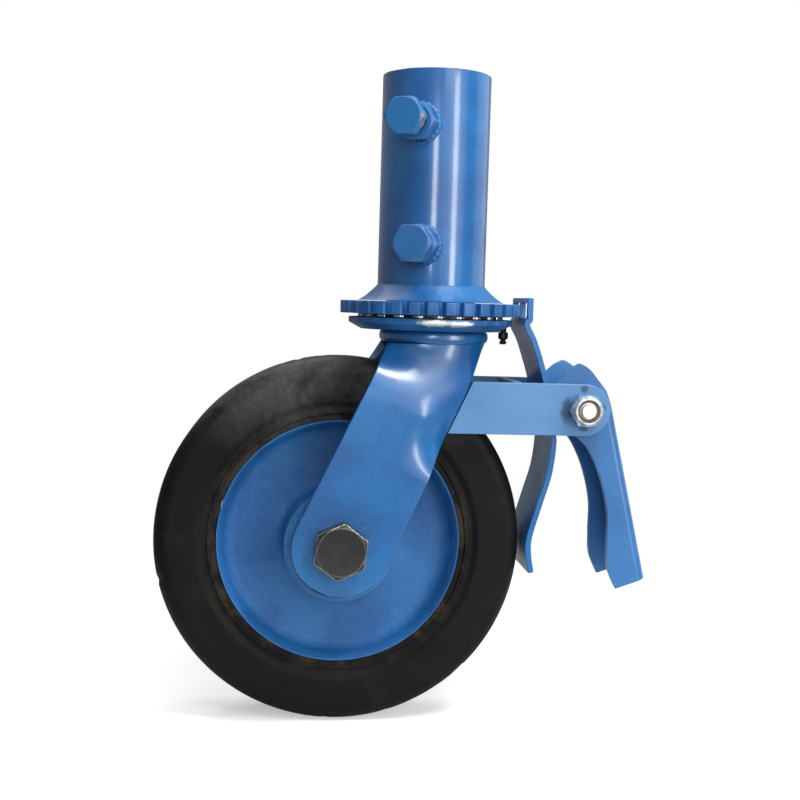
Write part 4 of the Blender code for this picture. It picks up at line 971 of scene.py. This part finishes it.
across, nutHeight, collar = brake["across"], brake["nut"], brake["collar"]
flat, wide, hole = across * hexagon["flat"], across * hexagon["wide"], brake["pivotR"] + gap
nutPoints = [(hole, 0), (flat, 0), (wide, nutHeight * 0.15), (wide, nutHeight * 0.85),
             (flat, nutHeight), (across * 0.46, nutHeight + 0.0004)]
nutPoints += arc((across * 0.46 - 0.0011, nutHeight + collar - 0.0011), 0.0011, 0, 110, 5)
nutPoints += [(across * 0.375, nutHeight + collar - 0.0011), (hole, nutHeight + collar - 0.0011)]
nut = turned(nutPoints, hexagon["steps"], closed=True)
shapeHex(nut, across, 0, nutHeight)
nutPlace = pivotPlace @ at(0, -seat, 0) @ nearTurn
dress(nut, "pivotNut", "brightSteel", nutPlace)
nutTop = nutHeight + collar
dress(
    washer(hole - 0.0001, across * 0.375, nutTop - 0.0014, nutTop - 0.0005), "pivotNutRing", "nylonRing",
    nutPlace, body="fork", slot="bright_steel")
for side, label, turn in sides:
    dress(washer(hole, brake["washerR"], 0, 0.0014), "pivotWasher" + label, "zincSteel",
          pivotPlace @ at(0, side * (brake["half"] + gap), 0) @ turn)

half, wide = brake["plateHeight"] / 2, brake["armIn"] - gap
plate = plateShape([(-half, -wide), (half, -wide), (half, wide), (-half, wide)], -brake["plate"], 0)
dress(plate, "crossPlate", "arm", at(brake["plateX"], 0, brake["guideZ"]) @ rightTurn, rounding=0.0005)
guideSeat = brake["camX"] + gap
guideNutX = brake["plateX"] - brake["plate"] - gap - brake["guideNut"]
guideLength = guideSeat - guideNutX + brake["guideTail"]
bolt = hexBolt(brake["guideAcross"], brake["guideHead"], brake["guideR"], guideLength, 0.00125,
               -(guideLength - 0.01))
dress(bolt, "guideBolt", "zincSteel", at(guideSeat, 0, brake["guideZ"]) @ rightTurn)
nut = hexNut(brake["guideAcross"], brake["guideNut"], brake["guideR"] + gap)
dress(nut, "guideNut", "zincSteel", at(guideNutX, 0, brake["guideZ"]) @ rightTurn)

spring = bmesh.new()
start, end = brake["springEnds"]
steps = int(brake["turns"] * 36)
ops.create_circle(spring, cap_ends=True, segments=12, radius=brake["wire"])
moved(spring, at(start + brake["wire"], 0, brake["coil"]) @ nearTurn)
ops.spin(
    spring, geom=spring.verts[:] + spring.edges[:] + spring.faces[:], cent=(0, 0, 0), axis=(1, 0, 0),
    angle=tau * brake["turns"], steps=steps,
    dvec=((end - start - 2 * brake["wire"]) / steps, 0, 0))
ops.remove_doubles(spring, verts=spring.verts, dist=nearby)
spring = dress(spring, "returnSpring", "zincSteel", at(0, 0, brake["guideZ"]), crease=60)
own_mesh(spring)
print("brake arms, pivot and guide made")


# brake lever

lever = dict(
    sheet=0.0038, bend=0.005, angle=radians(13.2), back=0.0179, drop=0.1015, footRise=0.006,
    heel=0.0158, lock=radians(50), reach=0.0222,
    toe=[(1, 1.038), (0.884, 1.167), (0.749, 1.044), (0.567, 0.827), (0.374, 0.843), (0.22, 1.058),
        (0.154, 1.344)],
    face=[(-0.135, 0.054), (0.158, 0.0135), (0.383, 0), (0.608, 0.045)],
    crown=[(-0.07, 1.135), (0.16, 1), (0.38, 0.743), (0.63, 0.432)])


def leverBack(height):
    return lever["back"] - height * tan(lever["angle"])


def leverOutline():
    reach = lever["reach"]
    face = []
    for height, slack in lever["face"]:
        raised = Vector((slack - 1, height)) * reach
        raised.rotate(Matrix.Rotation(-lever["lock"], 2))
        face.append((raised.x, raised.y))
    crown = [(x * reach, z * reach) for x, z in lever["crown"]]
    footZ = lever["footRise"] - lever["drop"]
    toe = []
    for share, depth in lever["toe"]:
        height = -lever["drop"] * share
        toe.append((leverBack(height) - lever["back"] * depth, height))
    heel = arc((0, 0), lever["heel"], 245, 160, 14)
    back = [(lever["back"], 0), (leverBack(footZ), footZ)]
    return smoothPath(face, 4) + smoothPath([face[-1]] + crown + [back[0]], 4)[2:-1] + back \
        + smoothPath(toe, 8) + heel


def channelOutline():
    half, sheet, bend = brake["half"], lever["sheet"], lever["bend"]
    reach = lever["back"] + 1.6 * lever["reach"]
    inner = half - sheet
    root = bend - sheet
    outline = [(-reach, half)] + arc((-bend, half - bend), bend, 90, 0, 12)
    outline += arc((-bend, bend - half), bend, 0, -90, 12) + [(-reach, -half), (-reach, -inner)]
    outline += arc((-sheet - root, root - inner), root, -90, 0, 6)
    outline += arc((-sheet - root, inner - root), root, 0, 90, 6) + [(-reach, inner)]
    return outline


channel = plateShape(channelOutline(), -1.2 * lever["drop"], 1.6 * lever["reach"])
moved(channel, at(lever["back"], 0, 0) @ Matrix.Rotation(-lever["angle"], 4, "Y"))
side = moved(plateShape(leverOutline(), -2 * brake["half"], 2 * brake["half"]), nearTurn)
leverShape = cut(channel, side, "INTERSECT")
leverShape = cut(leverShape, moved(rod(brake["pivotR"] + gap, -0.04, 0.04), nearTurn))
dress(leverShape, "brakeLever", "lever", pivotPlace, crease=32, rounding=0.0004)
print("brake lever made")


# brake strip

strip = dict(
    sheet=0.0032, rise=0.0039, neck=0.0014, bow=0.0058, tail=0.0165, kick=0.002,
    bends=(0.11, 0.38, 0.68), padX=0.0545, shoeX=0.0581, window=(-0.0081, 0.0011), bar=0.0013,
    windowOut=0.019, hole=0.0046)


def stripPath():
    padX, camX, shoeX = strip["padX"], brake["camX"], strip["shoeX"]
    padFoot, neck = strip["window"][0], strip["neck"]
    wheelZ = axle["z"]
    flat = brake["guideAcross"] * 0.65
    bowX = camX + strip["bow"]
    bowZ, bendZ, turnZ = [armFoot + (wheelZ - armFoot) * share for share in strip["bends"]]
    guideZ = brake["guideZ"]
    return smoothPath([
        (padX, strip["rise"]), (padX, padFoot), (padX - neck, padFoot - strip["sheet"]),
        (padX * 0.7 + camX * 0.3, padFoot * 0.65 + armTop * 0.35),
        (camX - neck * 0.5, armTop * 0.9 + padFoot * 0.1),
        (camX, guideZ + flat), (camX, guideZ), (camX, guideZ - flat),
        (bowX - neck * 0.5, armFoot), (bowX, bowZ), (bowX - strip["kick"], bendZ),
        (shoeX + strip["bow"] * 0.85, turnZ),
        (shoeX, wheelZ), (shoeX + strip["kick"], wheelZ - strip["tail"]),
    ], 6)


def makeStrip():
    # a sheet over the side view's path; its first rows hold the windows' edges
    path = stripPath()
    low, high = strip["window"]
    path = [(strip["padX"], z) for z in (strip["rise"], 0.0025, high, -0.0035, low)] + \
        [point for point in path if point[1] < low - 0.0014]
    half, bar, out = brake["half"], strip["bar"], strip["windowOut"]
    columns = [-half, -out, -out * 0.6, -bar, bar, out * 0.6, out, half]
    bm = bmesh.new()
    ops.create_grid(bm, x_segments=len(columns) - 1, y_segments=len(path) - 1, size=1)
    for vert in bm.verts:
        column = round((vert.co.x + 1) / 2 * (len(columns) - 1))
        row = round((1 - vert.co.y) / 2 * (len(path) - 1))
        x, z = path[row]
        vert.co = (x, columns[column], z)
    inWindow = [face for face in bm.faces if low < face.calc_center_median().z < high
                and bar < abs(face.calc_center_median().y) < out]
    ops.delete(bm, geom=inWindow, context="FACES")
    faceTowards(bm, Vector((1, 0, 0)))
    hole = moved(rod(strip["hole"], -0.01, 0.01), at(brake["camX"], 0, brake["guideZ"]) @ rightTurn)
    return cut(walled(bm, strip["sheet"]), hole)


dress(makeStrip(), "brakeStrip", "strip", crease=32, rounding=0.0004)
print("brake strip made")


# floor, light and camera

stage = dict(    # mirrored: how much of the white backdrop the paint and the metal mirror
    floorZ=-0.2346, size=1.6, fade=(0.2, 0.46), floor=(0.8, 0.8, 0.8, 1), white=(1, 1, 1, 1), glow=0.42,
    ambient=(0.88, 0.93, 0.97, 1), ambientLevel=0.12, mirrored=0.2)

floorShape = bmesh.new()
ops.create_grid(floorShape, x_segments=8, y_segments=8, size=stage["size"])
ops.translate(floorShape, verts=floorShape.verts, vec=(0, 0, stage["floorZ"]))
floor = linked("floor", floorShape)

floorPaint, shader, spot = newMaterial("paleFloor")
flatSpot = vectorCalc("MULTIPLY", spot, (1, 1, 0))
distance = vectorCalc("DISTANCE", flatSpot, (0, 0.02, 0), "Value")
fade = band(distance, *stage["fade"])
ray = put("LightPath").outputs
feed(shader, {
    "Base Color": stage["floor"], "Roughness": 0.9, "Specular IOR Level": 0.1,
    "Emission Color": stage["white"], "Emission Strength": times(ray["Is Camera Ray"], stage["glow"])})
clear = put("BsdfTransparent")
mixed = put("MixShader", {0: fade, 1: shader.outputs[0], 2: clear.outputs[0]})
feed(tree.nodes["Material Output"], {"Surface": mixed.outputs[0]})
floor.data.materials.append(floorPaint)

world = bpy.data.worlds.new("studio")
scene.world = world
world.use_nodes = True
tree = world.node_tree
ray = put("LightPath").outputs
seen = calc("MAXIMUM", ray["Is Camera Ray"], ray["Is Transmission Ray"])
seen = calc("MAXIMUM", seen, times(ray["Is Glossy Ray"], stage["mirrored"]))
ambient = put("Background", {"Color": stage["ambient"], "Strength": stage["ambientLevel"]})
white = put("Background", {"Color": stage["white"], "Strength": 1})
mixed = put("MixShader", {0: seen, 1: ambient.outputs[0], 2: white.outputs[0]})
feed(tree.nodes["World Output"], {"Surface": mixed.outputs[0]})

# place, aim, size, watts
lamps = {
    "tallKey": ((0.78, -1.04, 0.15), (0, 0, 0), (0.24, 0.85), 6.4),
    "frontSoft": ((-0.1, -1.1, 0.18), (0, 0, 0.18), (0.16, 0.44), 2.7),
    "paleWall": ((0.81, -1.2, 0.25), (0, 0, 0.1), (1.4, 0.95), 4.2),
    "highFront": ((-0.32, -0.72, 0.86), (0, 0, 0), (0.45, 0.35), 2),
    "skyPatch": ((0.36, -0.33, 0.74), (0, -0.03, -0.05), (0.25, 0.32), 6.8),
    "window": ((0.3, -0.6, 0.58), (0, -0.03, -0.05), (0.45, 0.5), 1.5),
    "rightWall": ((0.95, 0.4, 0.15), (0, 0, 0.05), (0.9, 0.9), 1.7),
    "topLight": ((-0.06, 0.1, 1), (-0.03, 0, -0.05), (0.6, 0.6), 4.5),
    "backSoft": ((-0.3, 0.8, 0.95), (0, 0, -0.05), (0.8, 0.45), 4.5),
}
for name, (spot, aim, size, watts) in lamps.items():
    light = bpy.data.lights.new(name, "AREA")
    light.shape = "RECTANGLE"
    light.size, light.size_y = size
    light.energy = watts
    holder = bpy.data.objects.new(name, light)
    holder.location = spot
    holder.rotation_euler = (Vector(aim) - Vector(spot)).to_track_quat("-Z", "Y").to_euler()
    scene.collection.objects.link(holder)

view = dict(
    at=(-0.0852, -0.6927, -0.0005), right=(0.99481, -0.09752, 0.02888), up=(-0.02094, 0.08145, 0.99646),
    ahead=(0.09953, 0.9919, -0.07898), lens=55.49)
camera = bpy.data.objects.new("camera", bpy.data.cameras.new("camera"))
scene.collection.objects.link(camera)
camera.data.sensor_width = 36
camera.data.lens = view["lens"]
camera.data.clip_start = 0.01
columns = [Vector(view["right"]), Vector(view["up"]), -Vector(view["ahead"])]
turn = Matrix(columns).transposed().to_4x4()
camera.matrix_world = Matrix.Translation(view["at"]) @ turn
scene.camera = camera
scene.view_settings.view_transform = "Standard"
print("stage set")
